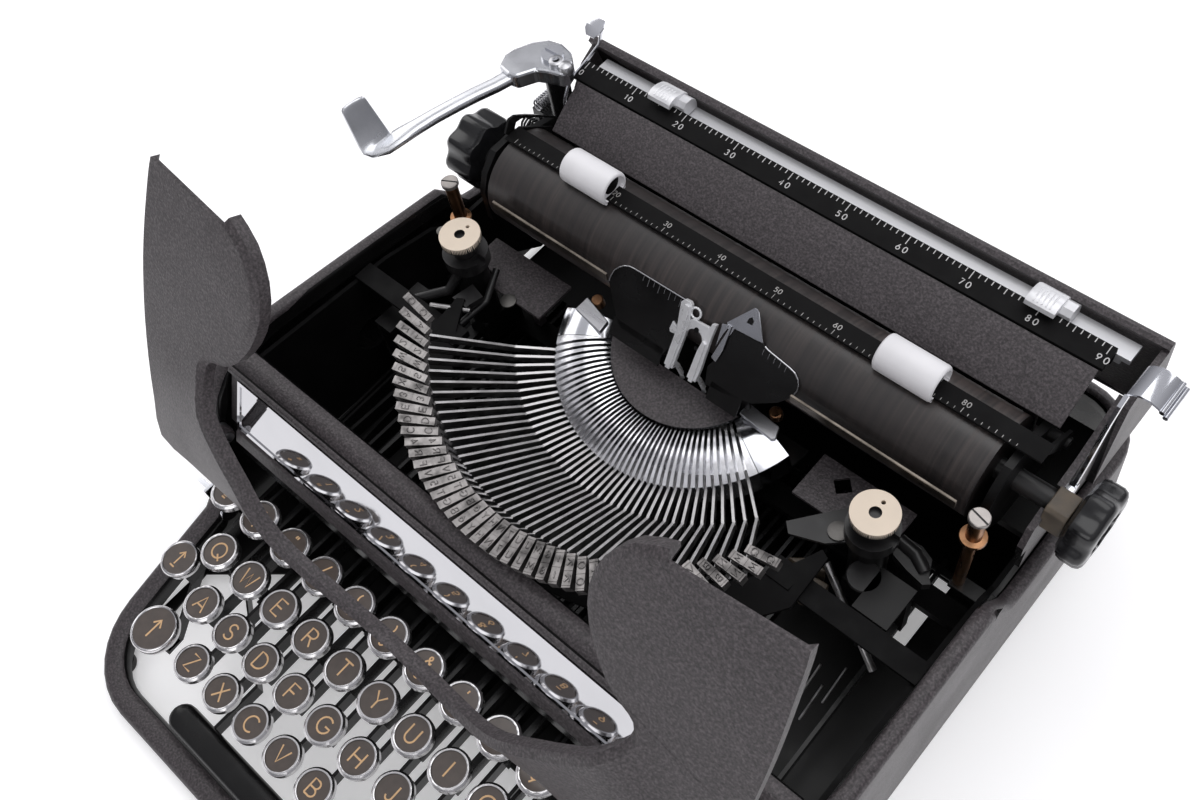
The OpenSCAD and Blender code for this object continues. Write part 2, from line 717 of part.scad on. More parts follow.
// Top cover: a bowed sheet swept from one rear corner round the opening to the
// other, each station joining the outer edge to the crease and its flange.
// Half outlines as [half width, distance up the face] and [.., .., lift off the face]
outer_line = [[0, 0], [30, 0], [50, 0], [70, 0], [92, 0], [112, 0], [cover_half, 1], [131.4, 18], [132.6, 38],
    [133.1, 55], [133.1, 69], [132.9, 80], [132.3, 91], [131.5, 101], [130.8, 109], [130.2, 115], [cover_half, cover_len]];
inner_line = [[0, 2.6, 3], [26, 3.4, 4], [46, 9, 7.5], [58, 17, 10], [69, 26, 10], [80, 35.5, 10], [89, 44, 9],
    [94.6, 51.5, 5], [96, 57, 2.8], [93, 60.2, 2.4], [86.5, 62.6, 2.2], [80, 68.5, 2.2], [73.2, 79, 2.2], [69.8, 91, 2.2],
    [71.6, 103, 2.2], [78.5, 113, 2.2], [88, cover_len - 0.8, 2.2]];
cover_foot = [-88.9, 102.3];
face_dir = [cos(cover_angle), sin(cover_angle)];
face_out = [-sin(cover_angle), cos(cover_angle)];
cover_bow = 2.5;
line_steps = 2;

function spline(a, b, c, d, t) = 0.5 * ((2 * b) + (c - a) * t + (2 * a - 5 * b + 4 * c - d) * t * t
    + (3 * b - a - 3 * c + d) * t * t * t);
function fine(p) = [for (i = [0:len(p) - 2]) for (k = [0:line_steps - 1])
    let (q = i == 0 ? p[0] : p[i - 1], w = i + 2 > len(p) - 1 ? p[len(p) - 1] : p[i + 2])
    spline(q, p[i], p[i + 1], w, k / line_steps)];
outer_fine = concat(fine(outer_line), [outer_line[len(outer_line) - 1]]);
inner_fine = concat(fine(inner_line), [inner_line[len(inner_line) - 1]]);
station_count = len(outer_fine);

function bow(s) = cover_bow * (1 - pow((s - 60) / 60, 2));
// A point of the open cover from half width, distance up the face and lift off it
function on_face(x, s, lift) = let (p = cover_foot + s * face_dir + (lift + bow(s)) * face_out) [x, p.x, p.y];

function heading(line, k) = let (d = line[min(k + 1, len(line) - 1)] - line[max(k - 1, 0)]) [d[0], d[1]] / norm([d[0], d[1]]);

function cover_ring(k, side) =
    let (o = outer_fine[k], c = inner_fine[k], run = norm([c[0] - o[0], c[1] - o[1]]))
    let (ho = heading(outer_fine, k), hc = heading(inner_fine, k))
    let (no = k == 0 ? [0, 1] : [-ho.y, ho.x], nc = k == 0 ? [0, -1] : [hc.y, -hc.x])
    let (b = min(cover_t, run / 5), m = min(3, run / 2.4))
    [on_face(side * o[0], o[1], 0), on_face(side * (c[0] + nc.x * m), c[1] + nc.y * m, c[2] - 0.8),
        on_face(side * c[0], c[1], c[2] - 2.2), on_face(side * c[0], c[1], c[2] - cover_flange),
        on_face(side * (c[0] + nc.x * b), c[1] + nc.y * b, c[2] - cover_flange),
        on_face(side * (c[0] + nc.x * m), c[1] + nc.y * m, c[2] - 0.8 - cover_t),
        on_face(side * (o[0] + no.x * b), o[1] + no.y * b, -cover_t - 0.1), on_face(side * o[0], o[1], -cover_t - 2)];
cover_cap = [[0, 1, 5], [0, 5, 6], [0, 6, 7], [1, 2, 5], [2, 4, 5], [2, 3, 4]];
wire_cap = [[0, 1, 2], [0, 2, 3], [0, 3, 4], [0, 4, 5]];

module open_sweep(rings, cap) {
    n = len(rings);
    m = len(rings[0]);
    polyhedron([for (r = rings) each r],
        concat([for (t = cap) [t[2], t[1], t[0]]], [for (i = [0:n - 2]) for (j = [0:m - 1])
                let (a = i * m + j, b = i * m + (j + 1) % m, c = (i + 1) * m + (j + 1) % m, d = (i + 1) * m + j)
                each [[a, b, c], [a, c, d]]],
            [for (t = cap) (n - 1) * m * [1, 1, 1] + t]), convexity = 8);
}

module cover() {
    rings = concat([for (k = [station_count - 1:-1:1]) cover_ring(k, -1)], [for (k = [0:station_count - 1]) cover_ring(k, 1)]);
    color(paint) place() open_sweep(rings, cover_cap);
}

module cover_arms() {
    s0 = 2.5;
    s1 = 13;
    drop = -cover_t - 2.6;
    low = on_face(0, s0, drop);
    high = on_face(0, s1, drop);
    color(paint) place() for (s = [-1, 1]) mirror([s < 0 ? 1 : 0, 0, 0]) difference() {
        union() {
            across([[hinge.x - 3.3, hinge.y], [low.y, low.z], [high.y, high.z], [hinge.x + 3.3, hinge.y + 2]],
                arm_x, arm_w);
            x_rod(arm_x, arm_x + arm_w, hinge.x, hinge.y, 3.5);
        }
        x_rod(arm_x - 1, arm_x + arm_w + 1, hinge.x, hinge.y, pin_r + run_gap);
    }
}

// Carriage frame: bed plate on two channel shoes, and two end plates
end_left = -109;
end_right = 124;
end_t = 3;
bed_t = 3.2;
end_cover_x = 138.8;
bed_x0 = -112;
bed_x1 = end_cover_x - rest_gap;

module end_plate(top_back) {
    across([[86, bed_z + 1], [80, 84], [74, 90], [67.5, 95], [67.5, 112], [71, 120], [78, 126.5], [90, 127.5], [99, 121.6], [112, 118],
        [112, bed_z + 1]], 0, end_t);
}

module shoe(y) {
    for (s = [-1, 1]) translate([bed_x0, y + s * (3 + rest_gap + 1) - 1, bed_z - 4]) cube([bed_x1 - bed_x0, 2, 5]);
}

module carriage_frame() {
    color(darkmetal) place() difference() {
        union() {
            translate([bed_x0, 85, bed_z]) cube([bed_x1 - bed_x0, 51, bed_t]);
            shoe(rail_front_y);
            shoe(rail_rear_y);
            for (x = [end_left, end_right]) translate([x, 0, 0]) end_plate();
            x_rod(end_right + end_t - 1, 134.4, bail_pivot.x, bail_pivot.y, 2.2);
            x_rod(end_left + end_t - 1, -103.4, bail_pivot.x, bail_pivot.y, 2.2);
        }
        x_rod(-140, 140, platen_y, platen_z, axle_r + run_gap);
        translate([-84, 100, bed_z - 1]) cube([184, 20, 6]);
    }
}

// Rear housing of the carriage with its right end cover
housing_x0 = -108;
housing_x1 = 144;
function rear_line(z) = rear_reach - rear_lean * z;
module rear_housing() {
    z0 = 77;
    color(paint) place() difference() {
        union() {
            across([[rear_line(z0), z0], [rear_line(136), 136], [rear_line(139) - 0.6, 139], [rear_line(139) - 2.4, 139.4],
                [rear_line(139) - 4, 138.4], [rear_line(136) - 3.2, 135], [rear_line(z0) - 2, z0]],
                housing_x0, housing_x1 - housing_x0);
            across([[rear_line(z0) - 0.5, z0], [rear_line(136) - 0.5, 136.4], [130, 136.4], [118, 128], [118, z0]],
                housing_x1 - 2.4, 2.4);
            across([[120, z0], [120, 129.4], [112, 124], [100, 117], [84, 113], [73, 108], [70, 99], [70.5, 93], [74.5, 91],
                [74.5, z0]],
                end_cover_x, 2.4);
            across([[118, z0], [118, 128], [120.4, 129.6], [120.4, z0]], end_cover_x, housing_x1 - end_cover_x);
            across([[rear_line(z0) - 0.5, z0], [rear_line(136) - 0.5, 136.4], [132, 131], [126, 122],
                [126, bed_z + bed_t + rest_gap], [136.4, bed_z + bed_t + rest_gap], [136.4, z0]],
                housing_x0, 1.8);
        }
        x_rod(end_cover_x - 2, end_cover_x + 4, platen_y, platen_z, axle_r + 2);
    }
}

// Paper table: a curved sheet from behind the platen up to the scale
table_x0 = -98;
module paper_table() {
    low = [102, 123.4];
    pts = [for (k = [0:8]) low + [18.4 * k / 8, 12 * (1.28 * k / 8 - 0.28 * pow(k / 8, 2))]];
    back = [for (k = [8:-1:0]) pts[k] + [0.5, -1.2]];
    color(paint) place() {
        across(concat(pts, back), table_x0, table_len);
        for (x = [-93, 116]) across([[108, 126], [111, 128], [111, 92], [108, 92]], x, 4);
        for (x = [-93, 116]) translate([x, 108, bed_z + bed_t]) cube([4, 10, 92 - bed_z - bed_t]);
    }
}

module scale_strip() {
    color(gloss) place() {
        across([[121, 134.6], [121, 136], [130, 137.6], [130, 136.2]], -102, 233);
        across([[128, 130.5], [130, 130.5], [130, 136.2], [128, 135.8]], -102, 233);
    }
}

module rail() {
    color(alloy) place() {
        across([[130.4, 131.6], [130.4, 134], [138, 134], [138, 131.6]], table_x0, 234);
        for (x = [-96, 128]) translate([x, 131, 128.6]) cube([5, 7, 3]);
        for (x = [-96, 128]) across([[136, 128.6], [140.2, 128.6], [140.2, 124], [136, 124]], x, 5);
    }
}

// Margin stops that slide on the rail
stop_x = [-58, 106];
module stop_body() {
    across([[130, 134.3], [130, 138.4], [131.5, 140], [136, 140], [137.6, 138.4], [137.6, 134.3]], -7.5, 15);
    across([[131.5, 140], [131.5, 141], [126, 143.4], [125.6, 142.4]], -6, 12);
}

module margin_stop_left() {
    color(chrome) place() translate([stop_x[0], 0, 0]) stop_body();
}

module margin_stop_right() {
    color(chrome) place() translate([stop_x[1], 0, 0]) stop_body();
}

// Bracket and post of the return lever at the carriage's left end
lever_axis = [-108.5, 118.4];
lever_z = 138;
module lever_bracket() {
    color(darkmetal) place() {
        translate([lever_axis.x, lever_axis.y, bed_z + bed_t]) cylinder(h = lever_z - rest_gap - bed_z - bed_t, r = 5);
        translate([lever_axis.x, lever_axis.y, lever_z - rest_gap]) cylinder(h = 6.5 + 2 * rest_gap, r = 3);
        translate([lever_axis.x, lever_axis.y, lever_z + 6.5 + rest_gap]) screw_head(4.6, 1.8);
        translate([-122, 113, 110.5]) cube([12, 10, 3]);
        translate([-122, 113, 100]) cube([3, 6, 11]);
    }
}

// Springs wound as one unbroken wire each
function coil(turns, radius, pitch, wire) = [for (k = [0:turns * 8])
    let (a = k * 45) [for (j = [0:5]) let (b = j * 60)
        [(radius + wire * cos(b)) * cos(a), (radius + wire * cos(b)) * sin(a), pitch * k / 8 + wire * sin(b)]]];
return_turns = 14;
return_pitch = 1.3;
return_wire = 0.4;
bail_turns = 5;
bail_pitch = 1.5;
bail_wire = 0.5;
// Least clear space between neighbouring turns, measured on the coils' points
function turn_gap(rings) = min([for (k = [0:len(rings) - 9]) for (a = rings[k]) for (b = rings[k + 8]) norm(a - b)]);
echo(spring_gap = [turn_gap(coil(return_turns, 2.4, return_pitch, return_wire)),
    turn_gap(coil(bail_turns, 3.2, bail_pitch, bail_wire))]);

module return_spring() {
    color(steel) place() translate([-118, 112.5, 117]) rotate([-90, 0, 0])
        open_sweep(coil(return_turns, 2.4, return_pitch, return_wire), wire_cap);
}

// Bail: flat bar over the platen on two side arms
bail_pivot = [104, 115];
bail_y = 87;
bail_z = 130.2;
module bail() {
    color(darkmetal) place() difference() {
        union() {
            across([[bail_y - bail_w / 2, bail_z], [bail_y - bail_w / 2, bail_z + 1], [bail_y + bail_w / 2, bail_z + 1],
                [bail_y + bail_w / 2, bail_z]], -104.6, 237.8);
            for (x = [-104.6, 131.8]) across([[bail_y, bail_z], [bail_y + 4, bail_z + 1], [100, 124], [107, 118],
                [108.2, 115], [107, 112], [104, 110.8], [100.6, 112], [98, 118], [92, 124]], x, 1.4);
        }
        x_rod(-110, 140, bail_pivot.x, bail_pivot.y, 2.2 + run_gap);
    }
}

module bail_spring() {
    color(steel) place() translate([-117.4, bail_pivot.x, bail_pivot.y]) rotate([0, 90, 0])
        open_sweep(coil(bail_turns, 3.2, bail_pitch, bail_wire), wire_cap);
}

// Ribbed clips that slide along the bail
roller_r = 7;
module bail_roller() {
    difference() {
        for (k = [0:5]) {
            x_rod(-11.5 + k * 4, -8.5 + k * 4, bail_y, bail_z + 3.4, roller_r);
            x_rod(-11.5, 11.5, bail_y, bail_z + 3.4, roller_r - 0.5);
        }
        translate([-13, bail_y - 10, bail_z - 8]) cube([26, 20, 9 + rest_gap]);
    }
    for (s = [-1, 1]) translate([-11.5, s > 0 ? bail_y + bail_w / 2 + rest_gap : bail_y - bail_w / 2 - rest_gap - 0.8,
        bail_z - 0.3]) cube([23, 0.8, 2.4]);
}

module bail_roller_left() {
    color(alloy) place() translate([-60.5, 0, 0]) bail_roller();
}

module bail_roller_right() {
    color(alloy) place() translate([82.5, 0, 0]) bail_roller();
}

// Platen, axle and knobs
module platen() {
    color(rubber) place() {
        x_rod(platen_x0, platen_x1, platen_y, platen_z, platen_r);
        x_rod(-134, 145, platen_y, platen_z, axle_r);
    }
}

module fluted(r, h, n, depth) {
    difference() {
        cylinder(h = h, r = r);
        for (k = [0:n - 1]) rotate([0, 0, 360 / n * k]) translate([r + 1.4, 0, -1]) cylinder(h = h + 2, r = 1.4 + depth);
    }
}

module knob_left() {
    color(gloss) place() translate([-155, platen_y, platen_z]) rotate([0, 90, 0]) difference() {
        union() {
            fluted(knob_r, 20, 18, 1.4);
            translate([0, 0, 30.5]) fluted(knob_r - 4, 3.5, 30, 0.6);
            translate([0, 0, 20]) cylinder(h = 11, r = 9);
        }
        translate([0, 0, 15]) cylinder(h = 30, r = axle_r + 0.02);
    }
}

module knob_right() {
    color(gloss) place() translate([housing_x1 + rest_gap, platen_y, platen_z]) rotate([0, 90, 0]) difference() {
        union() {
            cylinder(h = knob_out - housing_x1 - rest_gap - 3, r = knob_r);
            translate([0, 0, knob_out - housing_x1 - rest_gap - 3]) cylinder(h = 3, r = knob_r - 1);
        }
        translate([0, 0, -1]) cylinder(h = 2.2, r = axle_r + 0.02);
        translate([0, 0, knob_out - housing_x1 - rest_gap - 1.2]) cylinder(h = 3, r = 12);
    }
}

// Return lever: thumb plate, bent arm and a cast root on the post
module return_lever() {
    z = lever_z;
    arm_z = z + 2.5;
    color(chrome) place() difference() {
        union() {
            translate([lever_axis.x, lever_axis.y, z]) cylinder(h = 6.5, r = 8);
            across_z([[-128, 106], [-118.5, 101], [-102.5, 113], [-103, 124], [-113, 126], [-119, 124]], z + 0.5, 5.5);
            strut([-120.5, 104, arm_z], [-127, 78, arm_z], 9, 4);
            strut([-127, 80, arm_z], [-135, 52, arm_z], 6.6, 4);
            strut([-134, 54, arm_z], [-158, 48, arm_z], 4, 4);
            translate([-thumb_out, 0, 0]) across([[38, z - 8], [38, z + 7], [60, z + 7], [60, z - 8]], 0, 1.4);
            strut([-159.6, 48, arm_z], [-133, 40, arm_z], 20, 2.4);
        }
        translate([lever_axis.x, lever_axis.y, z - 1]) cylinder(h = 12, r = 3 + run_gap);
    }
}

module across_z(points, z0, height) {
    translate([0, 0, z0]) linear_extrude(height) polygon(points);
}

// Carriage release lever at the right end
module release_lever() {
    color(chrome) place() difference() {
        union() {
            across([[92, 101], [97, 101], [103, 114], [107.5, 129], [110, 139], [116, 141.6], [115.5, 144],
                [107, 141.5], [104, 130], [99.5, 116], [92, 106]], 141.6, 1.6);
            x_rod(141.6, 143.2, 94.5, 104, 4.2);
            translate([141.6, 114.6, 139.8]) cube([14.2, 13, 1.6]);
        }
        x_rod(140, 146, 94.5, 104, 1.5 + run_gap);
    }
}

module key_e() { live_key(10); }
module key_c() { live_key(13); }
module key_g() { live_key(19); }
module key_y() { live_key(22); }
module key_n() { live_key(25); }
module typebar_e() { bar_at(10); }
module typebar_c() { bar_at(13); }
module typebar_g() { bar_at(19); }
module typebar_y() { bar_at(22); }
module typebar_n() { bar_at(25); }

base_shell();
base_feet();
front_panel();
mirror_plate();
hinge_pins();
frame();
segment_bed();
segment();
segment_wire();
segment_plate();
segment_caps();
segment_screws();
typebars_rest();
type_rest();
keys_rings();
keys_discs();
levers_rest();
deck_plates();
ribbon_mech_left();
ribbon_mech_right();
guide_posts();
card_holders();
cover();
cover_arms();
spacebar();
shift_left();
shift_lock();
side_lever();
hub_left();
hub_right();
vibrator();
carriage_frame();
rear_housing();
paper_table();
scale_strip();
rail();
lever_bracket();
return_spring();
bail_spring();
platen();
knob_left();
knob_right();
bail();
bail_roller_left();
bail_roller_right();
margin_stop_left();
margin_stop_right();
return_lever();
release_lever();
key_e();
key_c();
key_g();
key_y();
key_n();
typebar_e();
typebar_c();
typebar_g();
typebar_y();
typebar_n();
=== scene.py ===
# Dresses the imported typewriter: materials, legends, scales and small fittings,
# the studio round it and the camera. Metres in the row frame. Most helpers take
# millimetres in the machine's own frame and convert them with pt().
import math

import bmesh
import bpy
from mathutils import Matrix, Vector


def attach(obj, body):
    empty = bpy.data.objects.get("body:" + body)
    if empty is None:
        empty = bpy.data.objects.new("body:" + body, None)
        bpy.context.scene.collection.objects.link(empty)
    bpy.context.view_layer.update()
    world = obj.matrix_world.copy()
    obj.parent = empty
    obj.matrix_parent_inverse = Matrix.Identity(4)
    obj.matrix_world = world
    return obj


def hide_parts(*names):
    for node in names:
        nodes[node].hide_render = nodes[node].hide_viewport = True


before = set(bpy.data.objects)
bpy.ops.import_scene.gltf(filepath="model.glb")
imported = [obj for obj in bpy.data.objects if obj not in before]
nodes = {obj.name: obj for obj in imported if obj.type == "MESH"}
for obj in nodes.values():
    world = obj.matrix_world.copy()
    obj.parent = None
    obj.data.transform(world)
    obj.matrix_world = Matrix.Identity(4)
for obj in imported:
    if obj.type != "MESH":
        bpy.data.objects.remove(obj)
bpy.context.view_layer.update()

# The machine's datum against the middle of its plan, in millimetres
SHIFT = (1.8, -1.3165)


def pt(x, y, z):
    return Vector(((x + SHIFT[0]) / 1000, (y + SHIFT[1]) / 1000, z / 1000))


def machine(v):
    return Vector((v.x * 1000 - SHIFT[0], v.y * 1000 - SHIFT[1], v.z * 1000))


def moved(x, y, z):
    return Matrix.Translation((x, y, z))


def placed(name, data):
    obj = bpy.data.objects.new(name, data)
    bpy.context.scene.collection.objects.link(obj)
    return obj


# Camera

FOCAL_PIXELS, WIDTH_PIXELS, SENSOR = 1191.14, 1200, 36
camera_data = bpy.data.cameras.new("camera")
camera_data.sensor_width = SENSOR
camera_data.lens = FOCAL_PIXELS / WIDTH_PIXELS * SENSOR
camera_data.clip_start = 0.02
camera_data.clip_end = 20
camera = placed("camera", camera_data)
look = Vector((-0.42683449, 0.32377276, -0.84438351)).normalized()
up = Vector((-0.52053201, 0.67556403, 0.52216824))
side = look.cross(up).normalized()
up = side.cross(look).normalized()
turn = Matrix((side, up, -look)).transposed()
camera.matrix_world = Matrix.Translation((0.18159, -0.1169765, 0.47223)) @ turn.to_4x4()
bpy.context.scene.camera = camera


# Materials


class Shade:
    """A material under construction, with a noise or two wired to its sockets."""

    def __init__(self, name, color, rough, metal=0.0, spec=0.5, coat=0.0, coat_rough=0.1):
        self.mat = bpy.data.materials.new(name)
        self.mat.use_nodes = True
        self.tree = self.mat.node_tree
        self.out = self.tree.nodes["Principled BSDF"]
        self.color = color
        self.rough = rough
        self.set("Base Color", (*color, 1))
        self.set("Roughness", rough)
        self.set("Metallic", metal)
        self.set("Specular IOR Level", spec)
        self.set("Coat Weight", coat)
        self.set("Coat Roughness", coat_rough)
        self.coords = self.node("ShaderNodeTexCoord").outputs["Object"]
        self.mat.diffuse_color = (*color, 1)

    def set(self, socket, value):
        self.out.inputs[socket].default_value = value

    def node(self, kind, **inputs):
        made = self.tree.nodes.new(kind)
        for key, value in inputs.items():
            made.inputs[key.replace("_", " ")].default_value = value
        return made

    def link(self, a, b):
        self.tree.links.new(a, b)

    def scaled(self, scale):
        mapping = self.node("ShaderNodeMapping")
        mapping.inputs["Scale"].default_value = scale
        self.link(self.coords, mapping.inputs["Vector"])
        return mapping.outputs["Vector"]

    def noise(self, scale, detail=3.0, stretch=(1, 1, 1)):
        made = self.node("ShaderNodeTexNoise", Scale=scale, Detail=detail)
        self.link(self.scaled(stretch), made.inputs["Vector"])
        return made.outputs["Fac"]

    def cells(self, scale, stretch=(1, 1, 1)):
        made = self.node("ShaderNodeTexVoronoi", Scale=scale)
        self.link(self.scaled(stretch), made.inputs["Vector"])
        return made.outputs["Distance"]

    def ramp(self, factor, *stops):
        made = self.node("ShaderNodeValToRGB")
        elements = made.color_ramp.elements
        while len(elements) < len(stops):
            elements.new(0.5)
        for element, (place, color) in zip(elements, stops):
            element.position = place
            element.color = (*color, 1) if len(color) == 3 else color
        self.link(factor, made.inputs["Fac"])
        return made.outputs["Color"]

    def paint(self, factor, *stops):
        self.link(self.ramp(factor, *stops), self.out.inputs["Base Color"])
        return self

    def roughness(self, factor, low, high, start=0.3, end=0.7):
        made = self.node("ShaderNodeMapRange", From_Min=start, From_Max=end, To_Min=low, To_Max=high)
        self.link(factor, made.inputs["Value"])
        self.link(made.outputs["Result"], self.out.inputs["Roughness"])
        return self

    def bump(self, factor, depth, strength=1.0):
        made = self.node("ShaderNodeBump", Strength=strength, Distance=depth)
        self.link(factor, made.inputs["Height"])
        before = self.out.inputs["Normal"]
        if before.is_linked:
            self.link(before.links[0].from_socket, made.inputs["Normal"])
        self.link(made.outputs["Normal"], before)
        return self


def times(color, k):
    return tuple(c * k for c in color)


def varied(name, color, rough, spread, scale, stretch=(1, 1, 1), depth=0.0, bump_scale=None, **more):
    """A surface whose colour and roughness drift with one noise, and whose bump follows a finer one."""
    made = Shade(name, color, rough, **more)
    wide = made.noise(scale, 4, stretch)
    made.paint(wide, (0.3, times(color, 1 - spread)), (0.7, times(color, 1 + spread)))
    made.roughness(wide, rough * 0.8, min(1, rough * 1.25))
    if depth:
        made.bump(made.noise(bump_scale, 2, stretch), depth, 0.6)
    return made.mat


def crinkle_paint(name, color, rough):
    made = Shade(name, color, rough, spec=0.4)
    wide = made.noise(35, 4)
    grain = made.noise(1150, 2)
    speck = made.cells(1300)
    made.paint(grain, (0.3, times(color, 0.55)), (0.5, color), (0.7, times(color, 1.85)))
    made.roughness(wide, rough * 0.9, rough * 1.1)
    made.bump(grain, 0.00022, 0.8)
    made.bump(speck, 0.0001, 0.5)
    return made.mat


def worn_steel(name, color, rough, stretch, low=0.6):
    made = Shade(name, color, rough, metal=1)
    grain = made.noise(420, 5, stretch)
    stain = made.noise(160, 3)
    made.paint(stain, (0.32, times(color, low)), (0.5, times(color, 0.9)), (0.7, times(color, 1.12)))
    made.roughness(grain, rough * 0.75, rough * 1.35)
    made.bump(grain, 0.00006, 0.5)
    return made.mat


def platen_rubber():
    base = (0.0205, 0.018, 0.018)
    made = Shade("platen_rubber", base, 0.42, spec=0.6)
    rings = made.noise(1.0, 1, (820, 3, 3))
    wear = made.noise(26, 3, (0.5, 1, 1))
    mix = made.node("ShaderNodeMath")
    mix.operation = "MULTIPLY"
    made.link(rings, mix.inputs[0])
    made.link(wear, mix.inputs[1])
    made.paint(mix.outputs["Value"], (0.12, base), (0.26, (0.03, 0.0245, 0.0235)),
        (0.42, (0.05, 0.039, 0.036)))
    made.roughness(rings, 0.33, 0.45)
    made.bump(rings, 0.00003, 0.35)
    return made.mat


def key_card():
    base = (0.066, 0.05, 0.042)
    made = Shade("key_card", base, 0.32, spec=0.5, coat=0.5, coat_rough=0.12)
    made.paint(made.noise(300, 3), (0.3, times(base, 0.86)), (0.7, times(base, 1.14)))
    made.bump(made.noise(260, 2), 0.00002, 0.4)
    return made.mat


BRUSHED_X = (0.06, 1, 1)
M = {
    "paint": crinkle_paint("crinkle_paint", (0.05, 0.043, 0.046), 0.46),
    "gloss": varied("black_enamel", (0.006, 0.0058, 0.006), 0.24, 0.3, 60, depth=0.00003,
        bump_scale=300, spec=0.3),
    # Near-black inner enamel of the inner faces; also the colour of the patches of painted shade in the
    # wall slot and under the works
    "inside": varied("inner_enamel", (0.0045, 0.0043, 0.0045), 0.36, 0.4, 45, depth=0.00005,
        bump_scale=220, spec=0.22),
    "matt": varied("matt_black", (0.0032, 0.003, 0.0032), 0.62, 0.5, 140, depth=0.00005,
        bump_scale=700, spec=0.12),
    "dark": varied("dark_metal", (0.012, 0.0115, 0.012), 0.34, 0.5, 90, depth=0.00004,
        bump_scale=500, spec=0.45),
    "grey": varied("greased_steel", (0.11, 0.105, 0.1), 0.34, 0.45, 120, depth=0.00006,
        bump_scale=400, metal=0.8),
    "chrome": varied("chrome", (0.66, 0.67, 0.71), 0.12, 0.06, 55, depth=0.00002, bump_scale=160, metal=1),
    "mirror": varied("polished_plate", (0.6, 0.6, 0.62), 0.035, 0.04, 40, metal=1),
    "cast": varied("cast_chrome", (0.6, 0.61, 0.64), 0.24, 0.08, 70, depth=0.00002,
        bump_scale=300, metal=1),
    "rail": varied("rail_steel", (0.66, 0.66, 0.68), 0.42, 0.06, 120, BRUSHED_X, 0.00002, 500, metal=0.7),
    "satin": varied("satin_metal", (0.5, 0.5, 0.52), 0.3, 0.12, 120, BRUSHED_X, 0.00003, 600, metal=1),
    "nickel": varied("nickel", (0.66, 0.65, 0.66), 0.19, 0.08, 150, depth=0.00002, bump_scale=400, metal=1),
    "alloy": varied("ribbed_alloy", (0.74, 0.74, 0.76), 0.4, 0.06, 200, depth=0.00003,
        bump_scale=900, metal=0.6),
    "bar_steel": worn_steel("typebar_steel", (0.42, 0.41, 0.41), 0.34, (1, 0.15, 1)),
    # Paler, half-diffuse steel on the typebars' upward faces: a painted highlight on their tops
    "bar_lit_top": varied("typebar_edge", (0.66, 0.65, 0.65), 0.36, 0.16, 140, metal=0.5),
    "bright": varied("bright_plate", (0.82, 0.82, 0.84), 0.3, 0.08, 120, metal=0.5),
    "slug_steel": worn_steel("type_steel", (0.3, 0.285, 0.28), 0.42, (1, 1, 1), 0.3),
    "seg_steel": worn_steel("segment_steel", (0.82, 0.82, 0.85), 0.2, (1, 1, 0.3), 0.85),
    "brass": worn_steel("brass", (0.36, 0.19, 0.1), 0.3, (1, 1, 0.2)),
    "bronze": worn_steel("bronzed_bar", (0.2, 0.175, 0.15), 0.36, (0.1, 1, 1)),
    "ivory": varied("ivory_disc", (0.76, 0.65, 0.53), 0.42, 0.04, 90, depth=0.00003,
        bump_scale=500, spec=0.3),
    "head_steel": varied("head_steel", (0.36, 0.335, 0.32), 0.36, 0.2, 260, metal=0.8),
    "sleeve": varied("white_sleeve", (0.78, 0.77, 0.79), 0.36, 0.03, 90, depth=0.00003,
        bump_scale=600, spec=0.5),
    "rubber": varied("foot_rubber", (0.018, 0.017, 0.016), 0.7, 0.3, 200, depth=0.00006, bump_scale=900),
    "knob": varied("knob_black", (0.008, 0.008, 0.009), 0.22, 0.3, 70, depth=0.00003, bump_scale=300),
    "brown": varied("brown_fibre", (0.085, 0.066, 0.047), 0.5, 0.35, 250, depth=0.00004, bump_scale=700),
    "gold": varied("legend_gold", (0.66, 0.42, 0.22), 0.5, 0.08, 400),
    "white": varied("scale_white", (0.5, 0.49, 0.49), 0.55, 0.08, 500),
    "faded": varied("scale_faded", (0.34, 0.33, 0.32), 0.55, 0.3, 160),
    "card": key_card(),
    "platen": platen_rubber(),
}


# CAD nodes: materials face by face, softened edges


def soften(obj, width, angle):
    """A narrow bevel, width in millimetres, on the edges sharper than angle."""
    if width:
        made = obj.modifiers.new("bevel", "BEVEL")
        made.width = width / 1000
        made.segments = 2
        made.limit_method = "ANGLE"
        made.angle_limit = math.radians(angle)


def dress(name, default, rule=None, edge=0.0, angle=32):
    """Material slots on a CAD node. rule(centre, normal) in the machine's frame names a face's material."""
    obj = nodes[name]
    mesh = obj.data
    mesh.materials.clear()
    used = [default]
    mesh.materials.append(M[default])
    for poly in mesh.polygons:
        poly.use_smooth = True
        key = rule(machine(poly.center), poly.normal) if rule else default
        key = key or default
        if key not in used:
            used.append(key)
            mesh.materials.append(M[key])
        poly.material_index = used.index(key)
    obj.modifiers.new("weld", "WELD").merge_threshold = 0.00001
    soften(obj, edge, 40)
    obj.modifiers.new("split", "EDGE_SPLIT").split_angle = math.radians(angle)
    obj.modifiers.new("smooth", "WEIGHTED_NORMAL").keep_sharp = True


def shell_rule(c, n):
    inward = -(c.x * n.x + (c.y - 5) * n.y) / max(1, math.hypot(c.x, c.y - 5))
    if inward > 0.25 and c.z < 97 and abs(n.z) < 0.75:
        return "gloss"
    if n.z < -0.6:
        return "inside"


# Keys: the first lever's place and the pitch, a key's radius, and each row's y and height
LEVER_X0, LEVER_STEP = -112.3, 4.75
KEY_R = 8
ROWS = {0: (-84.3, 71.6), 2: (-103, 60), 3: (-121.7, 48.4), 1: (-140.3, 36.8)}
# The platen's axis and the number of typebars
PLATEN_Y, PLATEN_Z = 86, 109
BAR_COUNT = 43
# The ribbon hubs' axes, left and right of the middle
HUB_X, HUB_Y = 99, 45.8
# The live keys by lever number
LIVE = {10: "key_e", 13: "key_c", 19: "key_g", 22: "key_y", 25: "key_n"}


def lever_x(i):
    return LEVER_X0 + LEVER_STEP * i


def bar_of(key):
    return key.replace("key", "typebar")


